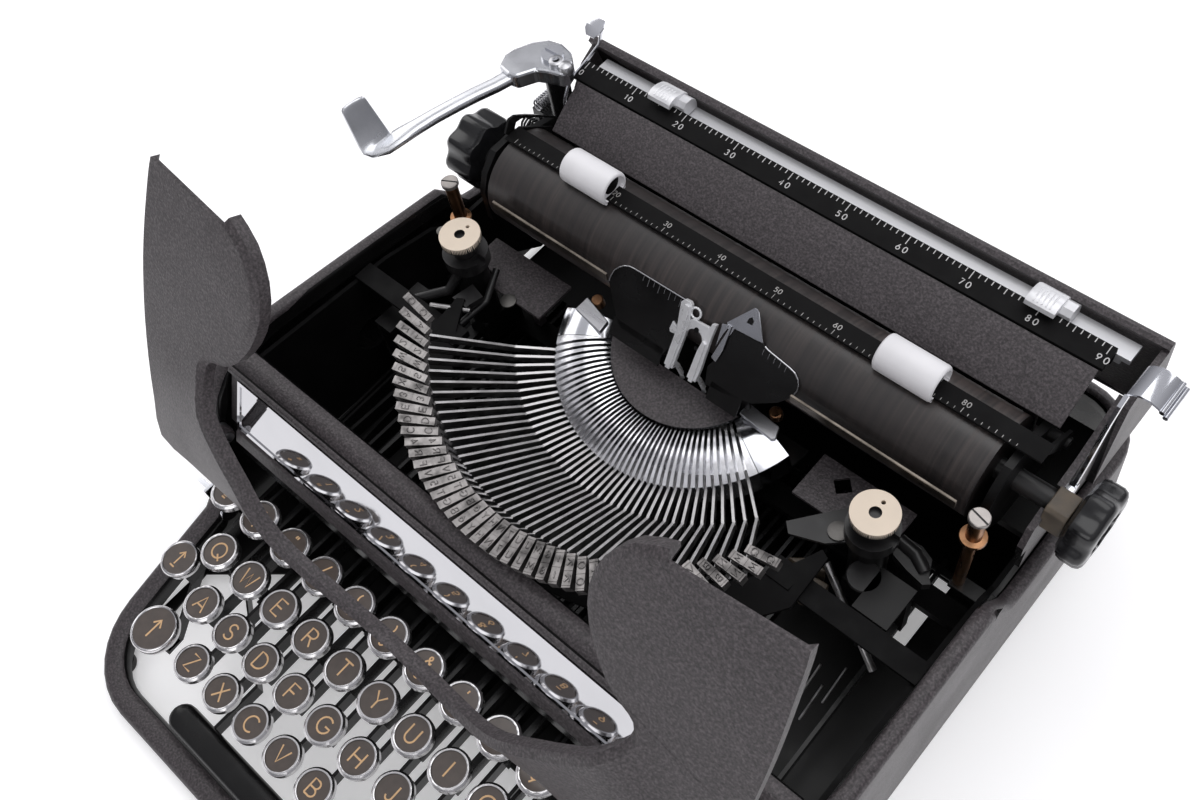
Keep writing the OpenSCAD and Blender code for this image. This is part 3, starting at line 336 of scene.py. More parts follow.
def live_rule(i):
    """One jointed key: card inside a nickel ring, enamel below."""
    y, z = ROWS[i % 4]

    def rule(c, n):
        flat = math.hypot(c.x - lever_x(i), c.y - y)
        if flat < KEY_R + 0.4 and c.z > z - 4.9:
            return "card" if c.z < z - 0.4 and n.z > 0.9 and flat < KEY_R - 1.4 else "nickel"
        return "gloss"
    return rule


# The type basket's frame: origin on the segment's axis, z along it
RING = moved(0, 73, 89.3) @ Matrix.Rotation(math.radians(10.5), 4, "X")
TO_RING = RING.inverted()


# Type slugs take the dark type steel; the bars' upward faces take the paler steel, a painted highlight
def typebar_rule(c, n):
    local = TO_RING @ c
    if local.z > 33 and math.hypot(local.x, local.y) > 93:
        return "slug_steel"
    return "bar_lit_top" if n.z > 0.4 else None


def roller_rule(c, n):
    return "dark" if math.hypot(c.y - PLATEN_Y, c.z - PLATEN_Z) < 5 else "platen"


def hub_rule(c, n):
    near = math.hypot(abs(c.x) - HUB_X, c.y - HUB_Y)
    return "ivory" if c.z > 110.6 and n.z > -0.5 and near > 2.3 else "dark"


def frame_rule(c, n):
    if c.y > 88 and c.z > 75.9:
        return "satin"
    return "matt" if n.z > 0.6 else None


def bracket_rule(c, n):
    return "chrome" if c.z > 143.5 else "gloss"


def plate_rule(c, n):
    """The plain half moon: crinkled on top, enamel on its edge."""
    return None if n.z > 0.5 else "gloss"


dress("base_shell", "paint", shell_rule, angle=48)
dress("base_feet", "rubber", edge=0.3)
dress("front_panel", "paint", lambda c, n: "gloss" if n.y > 0.6 or c.z < 72 else None, edge=0.25)
dress("mirror_plate", "mirror")
dress("hinge_pins", "satin", edge=0.2)
dress("frame", "inside", frame_rule)
dress("segment", "seg_steel")
dress("segment_wire", "satin")
dress("segment_plate", "paint", plate_rule)
dress("segment_caps", "chrome")
dress("segment_screws", "dark")
dress("type_rest", "matt", edge=0.3)
dress("keys_rings", "nickel", edge=0.15)
dress("keys_discs", "card")
dress("deck_plates", "paint", edge=0.2)
dress("guide_posts", "brass")
dress("cover", "paint", angle=40)
dress("cover_arms", "paint", edge=0.2)
dress("side_lever", "chrome", edge=0.2)
dress("rear_housing", "paint", lambda c, n: "gloss" if c.z < 100 and n.y < -0.5 else None, edge=0.25)
dress("paper_table", "paint", edge=0.15)
dress("scale_strip", "matt", edge=0.15)
dress("rail", "rail", edge=0.2)
dress("lever_bracket", "gloss", bracket_rule)
dress("carriage_frame", "inside", edge=0.25)
dress("return_spring", "satin", angle=80)
dress("bail_spring", "dark", angle=80)
dress("platen", "platen", roller_rule)
dress("bail", "matt", edge=0.15)
for name in ("segment_bed", "levers_rest", "card_holders", "spacebar", "shift_left", "shift_lock"):
    dress(name, "gloss")
for name in ("vibrator", "return_lever", "release_lever"):
    dress(name, "chrome")
for hand in ("left", "right"):
    dress("hub_" + hand, "ivory", hub_rule)
    # Ribbon works take dark metal above 95 mm and the darker, duller inner enamel below it: painted shade
    # on their deeper parts
    dress("ribbon_mech_" + hand, "inside", lambda c, n: "dark" if c.z > 95 else None, edge=0.3)
    dress("knob_" + hand, "knob")
    dress("bail_roller_" + hand, "sleeve")
    dress("margin_stop_" + hand, "alloy")
dress("typebars_rest", "bar_steel", typebar_rule)
for i, name in LIVE.items():
    dress(name, "gloss", live_rule(i))
    dress(bar_of(name), "bar_steel", typebar_rule)


# Mesh helpers for the small pieces


def piece(name, verts, faces, material, body, smooth=False, bevel=0.0):
    mesh = bpy.data.meshes.new(name)
    mesh.from_pydata([tuple(v) for v in verts], [], faces)
    mesh.validate()
    solid = bmesh.new()
    solid.from_mesh(mesh)
    bmesh.ops.recalc_face_normals(solid, faces=solid.faces)
    solid.to_mesh(mesh)
    solid.free()
    mesh.materials.append(M[material])
    obj = placed(name, mesh)
    if smooth:
        for poly in mesh.polygons:
            poly.use_smooth = True
        obj.modifiers.new("split", "EDGE_SPLIT").split_angle = math.radians(38)
    soften(obj, bevel, 35)
    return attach(obj, body)


IDENTITY = Matrix.Identity(4)
# Turns z along x, and turns an outline in x and y into one in y and z
ALONG_X = Matrix.Rotation(math.radians(90), 4, "Y")
SIDEWAYS = Matrix(((0, 0, 1, 0), (1, 0, 0, 0), (0, 1, 0, 0), (0, 0, 0, 1)))


class Batch:
    """Many small solids of one material gathered into one piece."""

    def __init__(self):
        self.verts = []
        self.faces = []

    def add(self, verts, faces):
        base = len(self.verts)
        self.verts += [Vector(v) for v in verts]
        self.faces += [[base + k for k in f] for f in faces]

    def box(self, low, high, place=IDENTITY):
        (a, b, c), (d, e, f) = low, high
        self.prism([(a, b), (d, b), (d, e), (a, e)], c, f, place)

    def prism(self, outline, low, high, place=IDENTITY):
        """An outline in x and y, from low to high in z, moved by place."""
        self.loft([[place @ Vector((x, y, z)) for x, y in outline] for z in (low, high)])

    def tube(self, path, radius, sides=6, flat=1.0, up=Vector((0, 0, 1))):
        """A round or flattened tube along a path, flat across up."""
        path = [Vector(p) for p in path]
        rings = []
        for k, p in enumerate(path):
            ahead = path[min(k + 1, len(path) - 1)] - path[max(k - 1, 0)]
            ahead.normalize()
            across = ahead.cross(up)
            if across.length < 1e-6:
                across = ahead.cross(Vector((1, 0, 0)))
            across.normalize()
            lift = across.cross(ahead)
            rings.append([p + radius * (math.cos(a) * across + flat * math.sin(a) * lift)
                          for a in (2 * math.pi * j / sides for j in range(sides))])
        self.loft(rings, -1)

    def lathe(self, profile, place, sides=32):
        """(radius, height) points turned about z, moved by place."""
        turns = [2 * math.pi * j / sides for j in range(sides)]
        self.loft([[place @ Vector((r * math.cos(a), r * math.sin(a), h)) for a in turns]
            for r, h in profile])

    def loft(self, rings, turn=1):
        """Closed rings of equal count, joined in order and capped. turn is -1 where they wind clockwise."""
        n = len(rings[0])
        last = (len(rings) - 1) * n
        faces = [list(range(n))[::-1], list(range(last, last + n))]
        for k in range(0, last, n):
            faces += [[k + j, k + (j + 1) % n, k + n + (j + 1) % n, k + n + j] for j in range(n)]
        self.add([v for r in rings for v in r], [f[::turn] for f in faces])

    def strip(self, path, half, height):
        """An upright strip along a path of (x, y, lowest z)."""
        for ends in zip(path, path[1:]):
            self.loft([[(x - half, y, z), (x - half, y, z + height), (x + half, y, z + height),
                (x + half, y, z)] for x, y, z in ends])

    def make(self, name, material, body, smooth=False, bevel=0.0, stands_for=None):
        """Turns the batch into one piece, which replaces the node stands_for where that is given."""
        made = piece(name, [pt(*v) for v in self.verts], self.faces, material, body, smooth, bevel)
        if stands_for:
            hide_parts(stands_for)


def arc(cx, cy, rx, ry, a0, a1, n=10):
    return [(cx + rx * math.cos(math.radians(a0 + (a1 - a0) * k / n)),
             cy + ry * math.sin(math.radians(a0 + (a1 - a0) * k / n))) for k in range(n + 1)]


# Stroke letters: lines in a box of the given width and height 1
GLYPHS = {
    "A": (0.8, [[(0, 0), (0.4, 1), (0.8, 0)], [(0.14, 0.33), (0.66, 0.33)]]),
    "B": (0.64, [[(0, 0), (0, 1), (0.34, 1), *arc(0.34, 0.76, 0.24, 0.24, 80, -80, 6), (0.34, 0.52),
        (0, 0.52)], [(0.34, 0.52), *arc(0.36, 0.26, 0.28, 0.26, 80, -80, 6), (0.34, 0), (0, 0)]]),
    "C": (0.8, [arc(0.48, 0.5, 0.46, 0.5, 48, 312, 14)]),
    "D": (0.76, [[(0, 0), (0, 1), (0.26, 1), *arc(0.26, 0.5, 0.5, 0.5, 80, -80, 10), (0.26, 0), (0, 0)]]),
    "E": (0.6, [[(0.6, 1), (0, 1), (0, 0), (0.6, 0)], [(0, 0.52), (0.5, 0.52)]]),
    "F": (0.58, [[(0.58, 1), (0, 1), (0, 0)], [(0, 0.52), (0.48, 0.52)]]),
    "G": (0.86, [[*arc(0.48, 0.5, 0.46, 0.5, 48, 340, 14), (0.92, 0.46), (0.55, 0.46)]]),
    "H": (0.7, [[(0, 0), (0, 1)], [(0.7, 0), (0.7, 1)], [(0, 0.5), (0.7, 0.5)]]),
    "I": (0.0, [[(0, 0), (0, 1)]]),
    "J": (0.44, [[(0.44, 1), (0.44, 0.24), *arc(0.22, 0.24, 0.22, 0.24, -10, -170, 8)]]),
    "K": (0.64, [[(0, 0), (0, 1)], [(0.62, 1), (0.02, 0.42)], [(0.2, 0.58), (0.64, 0)]]),
    "L": (0.54, [[(0, 1), (0, 0), (0.54, 0)]]),
    "M": (0.86, [[(0, 0), (0.1, 1), (0.43, 0.22), (0.76, 1), (0.86, 0)]]),
    "N": (0.72, [[(0, 0), (0, 1), (0.72, 0), (0.72, 1)]]),
    "O": (0.96, [arc(0.48, 0.5, 0.48, 0.5, 90, 450, 20)]),
    "P": (0.6, [[(0, 0), (0, 1), (0.34, 1), *arc(0.34, 0.74, 0.26, 0.26, 80, -80, 6), (0.34, 0.48),
        (0, 0.48)]]),
    "Q": (0.96, [arc(0.48, 0.5, 0.48, 0.5, 90, 450, 20), [(0.56, 0.28), (0.94, -0.04)]]),
    "R": (0.62, [[(0, 0), (0, 1), (0.34, 1), *arc(0.34, 0.74, 0.26, 0.26, 80, -80, 6), (0.34, 0.48),
        (0, 0.48)], [(0.32, 0.48), (0.62, 0)]]),
    "S": (0.6, [[*arc(0.3, 0.75, 0.27, 0.25, 30, 250, 8), *arc(0.3, 0.26, 0.3, 0.26, 70, -150, 8)]]),
    "T": (0.7, [[(0, 1), (0.7, 1)], [(0.35, 1), (0.35, 0)]]),
    "U": (0.68, [[(0, 1), (0, 0.34), *arc(0.34, 0.34, 0.34, 0.34, 190, 350, 8), (0.68, 0.34), (0.68, 1)]]),
    "V": (0.76, [[(0, 1), (0.38, 0), (0.76, 1)]]),
    "W": (1.0, [[(0, 1), (0.25, 0), (0.5, 0.86), (0.75, 0), (1, 1)]]),
    "X": (0.7, [[(0, 0), (0.68, 1)], [(0.02, 1), (0.7, 0)]]),
    "Y": (0.74, [[(0, 1), (0.37, 0.5), (0.74, 1)], [(0.37, 0.5), (0.37, 0)]]),
    "Z": (0.64, [[(0.02, 1), (0.62, 1), (0, 0), (0.64, 0)]]),
    "0": (0.6, [arc(0.3, 0.5, 0.3, 0.5, 90, 450, 14)]),
    "1": (0.2, [[(0, 0.8), (0.2, 1), (0.2, 0)]]),
    "2": (0.56, [[*arc(0.28, 0.72, 0.28, 0.28, 160, -30, 8), (0, 0), (0.56, 0)]]),
    "3": (0.54, [arc(0.26, 0.75, 0.24, 0.25, 150, -80, 8), arc(0.26, 0.27, 0.28, 0.27, 85, -150, 8)]),
    "4": (0.6, [[(0.44, 0), (0.44, 1), (0, 0.3), (0.6, 0.3)]]),
    "5": (0.54, [[(0.5, 1), (0.08, 1), (0.04, 0.56), *arc(0.26, 0.32, 0.28, 0.32, 110, -140, 8)]]),
    "6": (0.56, [[(0.42, 1), (0.04, 0.4)], arc(0.28, 0.3, 0.28, 0.3, 90, 450, 12)]),
    "7": (0.52, [[(0, 1), (0.52, 1), (0.14, 0)]]),
    "8": (0.54, [arc(0.27, 0.76, 0.23, 0.24, 90, 450, 12), arc(0.27, 0.26, 0.27, 0.26, 90, 450, 12)]),
    "9": (0.56, [[(0.14, 0), (0.52, 0.6)], arc(0.28, 0.7, 0.28, 0.3, 90, 450, 12)]),
    '"': (0.3, [[(0.04, 1), (0, 0.66)], [(0.3, 1), (0.26, 0.66)]]),
    "/": (0.5, [[(0, 0), (0.5, 1)]]),
    "(": (0.24, [arc(0.5, 0.5, 0.5, 0.62, 130, 230, 8)]),
    ")": (0.24, [arc(-0.26, 0.5, 0.5, 0.62, 50, -50, 8)]),
    "&": (0.7, [[(0.7, 0), (0.16, 0.72), *arc(0.32, 0.8, 0.17, 0.2, 190, -20, 8), (0.1, 0.4),
                 *arc(0.28, 0.22, 0.26, 0.22, 140, 330, 8), (0.66, 0.44)]]),
    "'": (0.06, [[(0.06, 1), (0, 0.66)]]),
    "_": (0.6, [[(0, 0), (0.6, 0)]]),
    "-": (0.5, [[(0, 0.45), (0.5, 0.45)]]),
    "=": (0.5, [[(0, 0.6), (0.5, 0.6)], [(0, 0.3), (0.5, 0.3)]]),
    "+": (0.5, [[(0, 0.45), (0.5, 0.45)], [(0.25, 0.2), (0.25, 0.7)]]),
    ".": (0.05, [[(0, 0), (0.05, 0.04)]]),
    ",": (0.1, [[(0.1, 0.08), (0, -0.16)]]),
    ";": (0.1, [[(0.1, 0.08), (0, -0.16)], [(0.08, 0.55), (0.1, 0.6)]]),
    ":": (0.05, [[(0, 0.05), (0.04, 0.08)], [(0, 0.55), (0.04, 0.6)]]),
    "^": (0.5, [[(0.25, 0), (0.25, 1)], [(0, 0.68), (0.25, 1), (0.5, 0.68)]]),
}


def write(batch, text, height, place, stroke, depth, gap=0.22):
    """Draws text as flat strokes centred on place's origin, x to the right, y up."""
    widths = [GLYPHS[c][0] for c in text]
    x = -(sum(widths) + gap * (len(text) - 1)) / 2
    normal = (place.to_3x3() @ Vector((0, 0, 1))).normalized()
    for c, w in zip(text, widths):
        for line in GLYPHS[c][1]:
            path = [place @ Vector(((x + px) * height, (py - 0.5) * height, 0)) for px, py in line]
            batch.tube(path, stroke, 8, depth / stroke, normal)
        x += w + gap


# Key legends

SHIFT_KEY = Vector((-109.5, -141.4, 42))
LOCK_KEY = Vector((-119, -115.6, 52))
# A card's face against the height of its ring's top, on the resting and on the live keys
CARD_LIFT, LIVE_LIFT = -0.44, -0.56
INK = 0.1
LETTERS = {2: "QWERTYUIOP", 3: "ASDFGHJKL;", 1: "ZXCVBNM,."}
UPPER = "+=\"/()&'_-:"
LOWER = "=1234567890"


def on_key(i):
    y, z = ROWS[i % 4]
    return moved(lever_x(i), y, z + (LIVE_LIFT if i in LIVE else CARD_LIFT))


def legend(batch, i):
    row = i % 4
    if row == 0:
        k = i // 4
        write(batch, UPPER[k], 3.6, on_key(i) @ moved(0, 3, 0), 0.32, INK)
        write(batch, LOWER[k], 3.6, on_key(i) @ moved(0, -2.6, 0), 0.32, INK)
        return
    first = {2: 2, 3: 3, 1: 5}[row]
    text = LETTERS[row][(i - first) // 4]
    write(batch, text, 6.4, on_key(i), 0.36, INK)


KEYS = [*range(0, 41, 4), *range(2, 39, 4), *range(3, 40, 4), *range(5, 38, 4)]
resting = Batch()
for i in KEYS:
    if i in LIVE:
        own = Batch()
        legend(own, i)
        own.make("legend_" + LIVE[i][-1], "gold", LIVE[i])
    else:
        legend(resting, i)
resting.make("legends", "gold", "body")
shift = Batch()
write(shift, "^", 8.5, Matrix.Translation(SHIFT_KEY + Vector((0, 0, CARD_LIFT))), 0.4, INK)
shift.make("legend_shift", "gold", "shift_left")
lock = Batch()
write(lock, "^", 6.4, Matrix.Translation(LOCK_KEY + Vector((0, 0.3, CARD_LIFT))), 0.34, INK)
write(lock, "_", 4, Matrix.Translation(LOCK_KEY + Vector((0, -1.9, CARD_LIFT))), 0.34, INK)
lock.make("legend_lock", "gold", "shift_lock")


# The two keys at the left on their side arms, in the ring and card form of the others

def side_key(node, at, radius, path):
    """path gives the flat arm's points from under the key to its pivot, as (x, y, lowest z)."""
    here = Matrix.Translation(at)
    ring, card, arm = Batch(), Batch(), Batch()
    ring.lathe([(0, -4.7), (radius - 1.4, -4.7), (radius - 0.4, -4.4), (radius, -3.6), (radius, -0.9),
        (radius - 0.4, -0.2), (radius - 0.8, 0), (radius - 1.2, -0.2), (radius - 1.35, -0.5),
        (radius - 1.4, -1.6), (0, -1.6)], here, 48)
    card.lathe([(0, -1.5), (radius - 1.35, -1.5), (radius - 1.35, -0.5), (0, -0.5)], here, 48)
    arm.strip(path, 0.6, 7)
    x, y, z = path[0]
    arm.box((x - 0.6, y + 1, z + 2), (x + 0.6, y + 7, at.z - 4.5))
    ring.make(node + "_ring", "nickel", node, smooth=True, stands_for=node)
    card.make(node + "_card", "card", node, stands_for=node)
    arm.make(node + "_arm", "gloss", node, stands_for=node)


side_key("shift_left", SHIFT_KEY, 10, [(-109.5, -145.4, 20), (-109.5, -137.4, 21), (-127.5, -110, 22.6),
    (-127.5, 79, 32.5)])
side_key("shift_lock", LOCK_KEY, KEY_R, [(-120, -119.6, 30), (-122.5, -105, 30.3), (-122.5, 79, 32.5)])


# Space bar: a long rounded bar on two cranked arms

BAR_HALF, BAR_Y, BAR_R = 82, -158, 6
bar = Batch()
outer = arc(BAR_HALF, BAR_Y, BAR_R, BAR_R, -90, 90, 10) + arc(-BAR_HALF, BAR_Y, BAR_R, BAR_R, 90, 270, 10)
rings = []
for z, inset in ((17.8, 0.8), (18.6, 0), (21, 0), (22.4, 0.6), (23.2, 1.7), (23.6, 3.2)):
    k = 1 - inset / BAR_R
    ends = [(math.copysign(BAR_HALF, x), x, y) for x, y in outer]
    rings.append([(end + (x - end) * k, BAR_Y + (y - BAR_Y) * k, z) for end, x, y in ends])
bar.loft(rings)
bar.make("space_bar", "gloss", "spacebar", smooth=True, stands_for="spacebar")
cranks = Batch()
for hand in (-1, 1):
    cranks.strip([(hand * x, y, z) for x, y, z in [(70, -156, 12.2), (70, -130, 12), (106, -106, 14.4),
        (115, -98, 16), (115, 79, 32.5)]], 0.75, 6.4)
cranks.make("space_bar_arms", "gloss", "spacebar", stands_for="spacebar")


# Characters on the type slugs, two on each, in the tilted frame of the type basket

TYPE = "QAZ2WSX3EDC4RFV5TGB6YHN7UJM8IKOL9P0ZXCVBNMQWE"


def turned(r, a):
    return Vector((r * math.sin(math.radians(a)), -r * math.cos(math.radians(a)), 0))


def slug_place(i):
    half = (BAR_COUNT - 1) // 2
    u = (i - half) / half
    mid = turned(106.5 - 6.2 * u * u, 47 * u + 7.5 * u ** 3)
    spin = Matrix.Rotation(math.radians(96 * u), 4, "Z")
    rise = math.atan2(4, 12.7)
    return RING @ Matrix.Translation(mid + Vector((0, 0, 41))) @ spin @ Matrix.Rotation(-rise, 4, "X")


def slug_marks(batch, i):
    place = slug_place(i)
    glyph = TYPE[i]
    for along in (-3.2, 3.2):
        write(batch, glyph, 2.5, place @ moved(0, along, 0.12) @ Matrix.Scale(-1, 4, (1, 0, 0)), 0.24, 0.3)
    for along in (-5.7, 0, 5.7):
        batch.box((-1.5, along - 0.16, -0.1), (1.5, along + 0.16, 0.16), place)


marks = Batch()
for i in range(BAR_COUNT):
    if i in LIVE:
        own = Batch()
        slug_marks(own, i)
        own.make("type_" + LIVE[i][-1], "slug_steel", bar_of(LIVE[i]))
    else:
        slug_marks(marks, i)
marks.make("type_characters", "slug_steel", "body")


# Scales: ten marks to the inch from the same left end

PITCH = 2.54
SCALE_X0 = -99.6
SCALE_Y = 129.7
BAIL_EDGE = 83.5


def strip_place(x, y):
    """On the sloping top of the scale strip."""
    slope = math.atan2(1.6, 9)
    return moved(x, y, 136 + (y - 121) * 1.6 / 9 + 0.02) @ Matrix.Rotation(slope, 4, "X")


scale = Batch()
for k in range(91):
    x = SCALE_X0 + PITCH * k
    y0 = 126.2 if k % 10 == 0 else 127.4 if k % 5 == 0 else 128
    scale.box((-0.16, y0 - SCALE_Y, 0), (0.16, 0, 0.06), strip_place(x, SCALE_Y))
    if k % 10 == 0:
        write(scale, str(k), 2.3, strip_place(x, 124.2), 0.2, 0.06, 0.6)
scale.make("scale_marks", "white", "carriage")

bail_marks = Batch()
for k in range(-2, 89):
    x = SCALE_X0 + PITCH * k
    if not -101 < x < 128:
        continue
    y1 = 85.6 if k % 10 == 0 else 85 if k % 5 == 0 else 84.5
    bail_marks.box((-0.11, 0, 0), (0.11, y1 - BAIL_EDGE, 0.05), moved(x, BAIL_EDGE, 131.2))
    if k % 10 == 0 and k:
        write(bail_marks, str(k), 2.0, moved(x, 87.4, 131.22), 0.17, 0.05, 0.3)
bail_marks.make("bail_marks", "faded", "bail")


# Pieces shaped from the photograph that stand for plainer solids


def section(center, across, normal, width, thick, count=16, power=2.8):
    """A rounded bar's cross-section, width along across and thick along normal."""
    center = Vector(center)
    ring = []
    for k in range(count):
        a = 2 * math.pi * k / count
        c, s = math.cos(a), math.sin(a)
        u = math.copysign(abs(c) ** (2 / power), c) * width / 2
        v = math.copysign(abs(s) ** (2 / power), s) * thick / 2
        ring.append(center + across * u + normal * v)
    return ring


def swept(batch, steps):
    """Rounded sections along steps of (centre, width, thickness, ahead)."""
    rings = []
    for center, width, thick, ahead in steps:
        ahead = Vector(ahead).normalized()
        across = Vector((-ahead.y, ahead.x, 0)).normalized()
        rings.append(section(center, across, ahead.cross(across), width, thick))
    batch.loft(rings)


# Return lever: a cast head, a long curved arm and a thumb tab bent up at its end

lever = Batch()
swept(lever, [
    ((-115.5, 108, 141.4), 7.5, 4.6, (-0.4, -0.9, 0)),
    ((-117.6, 103, 141.3), 7, 4.6, (-0.3, -0.95, 0)),
    ((-119.8, 95.5, 141), 6.6, 4.5, (-0.33, -0.94, 0)),
    ((-122.8, 87.3, 141), 6.4, 4.5, (-0.32, -0.95, 0)),
    ((-125.4, 78.8, 141), 6.4, 4.4, (-0.3, -0.95, 0)),
    ((-128.3, 69.4, 140.7), 6.6, 4.2, (-0.28, -0.96, 0)),
    ((-130.6, 61.5, 140.2), 7.2, 4, (-0.3, -0.95, -0.05)),
    ((-132.6, 55.5, 139.5), 8.8, 3.6, (-0.5, -0.86, -0.1)),
    ((-134.3, 50.5, 138.7), 11.6, 3.2, (-0.75, -0.6, -0.15)),
    ((-136, 47.4, 138.2), 13.8, 2.8, (-0.97, -0.1, -0.1)),
    ((-138.2, 46.4, 138.8), 14.2, 2.5, (-0.85, 0.05, 0.5)),
    ((-140, 46.6, 141.2), 13.8, 2.3, (-0.55, 0.08, 0.83)),
    ((-143.2, 47, 147.2), 12.6, 2.2, (-0.5, 0.08, 0.86)),
    ((-146.4, 47.4, 153.2), 11.4, 2.2, (-0.48, 0.08, 0.87)),
    ((-147, 47.5, 154.4), 10.8, 2.1, (-0.48, 0.08, 0.87)),
    ((-147.4, 47.5, 155.1), 9.4, 2, (-0.48, 0.08, 0.87)),
    ((-147.6, 47.5, 155.4), 7, 1.7, (-0.48, 0.08, 0.87)),
])
head = [(-122.5, 101.7), (-125.2, 107.7), (-124.6, 112.6), (-121.3, 119.8), (-116.6, 124.8),
    (-110.2, 126.2), (-103.9, 124.6), (-99.6, 120.9), (-96.6, 115.4), (-98.4, 112.4), (-103.5, 110.9),
    (-108.6, 108.6), (-110.9, 104.4), (-112.6, 101.2), (-116.4, 100.5)]
lever.make("lever_arm", "cast", "return_lever", smooth=True, stands_for="return_lever")
cast = Batch()
cast.loft([[(x, y, z + (108 - y) * 0.03) for x, y in head] for z in (138, 145.2)])
cast.make("lever_head", "cast", "return_lever", bevel=1.1, stands_for="return_lever")
pins = Batch()
pins.lathe([(0, 144), (3, 144), (3, 146.6), (2.4, 147), (1.5, 147), (1.5, 145.6), (0, 145.6)],
           moved(-104.2, 116.2, 0), 24)
pins.lathe([(0, 143), (3.2, 143), (3.4, 144.6), (2.6, 146.4), (0.8, 147.2), (0, 147.2)],
           moved(-99.8, 116.4, 0), 24)
pins.make("lever_pins", "satin", "return_lever", smooth=True)
pinhole = Batch()
pinhole.lathe([(0, 145.5), (1.5, 145.5), (1.5, 145.9), (0, 145.9)], moved(-104.2, 116.2, 0), 20)
pinhole.make("lever_pinhole", "gloss", "return_lever")


# Platen knobs: black, with broad rounded lobes

AXLE = moved(0, PLATEN_Y, PLATEN_Z) @ ALONG_X
LOBE = 0.95


def knob(name, x0, x1, outward, radius, lobes):
    """A lobed knob on the platen's axle from x0 to x1, its rounded face at the outward end."""
    def ring(x, inset):
        points = []
        for k in range(lobes * 12):
            a = 2 * math.pi * k / (lobes * 12)
            r = radius - inset - LOBE + LOBE * math.cos(lobes * a)
            points.append(Vector((x, PLATEN_Y + r * math.cos(a), PLATEN_Z + r * math.sin(a))))
        return points if outward < 0 else points[::-1]
    inner, outer = (x0, x1) if outward > 0 else (x1, x0)
    batch = Batch()
    rings = [ring(inner, 3), ring(inner + outward * 1.2, 0.6), ring(inner + outward * 3, 0)]
    rings += [ring(outer - outward * 2.6, 0), ring(outer - outward * 1, 0.7),
        ring(outer - outward * 0.25, 2), ring(outer, 3.6)]
    rings += [ring(outer, 6.4), ring(outer - outward * 1.4, 7.6)]
    batch.loft(rings)
    batch.make(name + "_grip", "knob", "platen", smooth=True, stands_for=name)


knob("knob_left", -134.5, -118.5, -1, 16, 8)
knob("knob_right", 148.8, 159, 1, 15.8, 8)
collars = Batch()
for x0, x1, r in ((-118.4, -112.4, 7), (143.5, 149.2, 4.8)):
    collars.lathe([(0, x0), (r, x0), (r, x1), (0, x1)], AXLE, 24)
collars.make("knob_collars", "dark", "platen", smooth=True)


# Release lever: a curved strip rising to a thumb tab with two rolled ribs

release = Batch()
strip = [(93, 103), (96.6, 107), (100.4, 115), (104, 127), (106.6, 134), (110, 139), (113.4, 141.2)]
thick = [4.4, 4.2, 3.6, 3.2, 3.2, 3.4, 4]
edge_a, edge_b = [], []
for k, (y, z) in enumerate(strip):
    ahead = Vector((*strip[min(k + 1, len(strip) - 1)], 0)) - Vector((*strip[max(k - 1, 0)], 0))
    ahead.normalize()
    edge_a.append((y - ahead.y * thick[k] / 2, z + ahead.x * thick[k] / 2))
    edge_b.append((y + ahead.y * thick[k] / 2, z - ahead.x * thick[k] / 2))
for k in range(len(strip) - 1):
    corners = edge_a[k], edge_a[k + 1], edge_b[k + 1], edge_b[k]
    release.loft([[(x, y, z) for y, z in corners] for x in (141.6, 143)])
tab_rings = []
for x, z in ((141.8, 140.4), (143.4, 142), (146, 143), (149, 142.8), (152, 141.4), (154.4, 139.4)):
    tab_rings.append(section((x, 120.4 + (x - 142) * 0.06, z), Vector((0, 1, 0)),
        Vector((0.1, 0, 1)).normalized(), 14, 1.2, 12, 6))
release.loft([r[::-1] for r in tab_rings])
for x, z in ((153.4, 141), (155, 139.4)):
    release.tube([(x, y, z) for y in (113.9, 114.4, 127, 127.6)], 0.9, 10)
release.lathe([(0, 141.2), (4.2, 141.2), (4.2, 143.4), (0, 143.4)],
              moved(0, 94.5, 104) @ ALONG_X, 24)
release.make("release_strip", "chrome", "release_lever", smooth=True, stands_for="release_lever")


# Ribbon vibrator and card holders, leaning back along the platen

LEAN = moved(0, 57, 103) @ Matrix(((1, 0, 0, 0), (0, 0.53, -0.848, 0), (0, 0.848, 0.53, 0), (0, 0, 0, 1)))


fork = Batch()
fork.prism([(0.2, -4), (4.2, -4), (4.4, 4), (4.7, 11), (4.5, 17), (3.4, 23.6), (2.4, 24.4), (0, 24.2),
    (-1.3, 22.6), (0.5, 12)], -0.2, 1.6, LEAN)
fork.prism([(10.9, -3.4), (15, -3.4), (15.4, 2), (15.1, 15), (15.4, 22), (13.6, 21.6), (12.8, 17.5),
    (11.4, 9)], -0.2, 1.6, LEAN)
fork.prism([(1.4, -4.4), (3.4, -4.4), (3.8, 11), (3, 23), (1, 23), (1.8, 11)], 1.6, 2.5, LEAN)
fork.prism([(12.2, -4), (14, -4), (14.2, 13), (12.8, 14)], 1.6, 2.4, LEAN)
arch = [(4, 17.5), (5.6, 19), (12.8, 19.6), (13.4, 17), (12.2, 12.6)] + arc(8.4, 12.4, 3.6, 3.4,
    12, 168, 10)
fork.prism(arch, 0.2, 1.5, LEAN)
fork.prism([(-0.4, 12), (-2.6, 13), (-3, 9.6), (-2.4, 8.4), (0.2, 8.8)], -0.6, 0.4, LEAN)
eye = arc(5.6, 21.2, 2.1, 2.1, 0, 360, 15)
for ends in zip(eye, eye[1:]):
    fork.tube([LEAN @ Vector((x, y, 0.6)) for x, y in ends], 0.5, 8)
for x in (2.2, 13):
    fork.tube([(x, 56.2, 101), (x, 58.6, 95), (x, 60.2, 88), (x, 60.2, 84.4)], 1.1, 8)
fork.make("vibrator_fork", "bright", "vibrator", bevel=0.18, stands_for="vibrator")
holes = Batch()
for x, y, r in ((8.5, 15.9, 1.05), (10.6, 9.2, 0.8)):
    holes.lathe([(0, 1.3), (r, 1.3), (r, 1.62), (0, 1.62)], LEAN @ moved(x, y, 0), 20)
holes.make("vibrator_holes", "gloss", "vibrator")

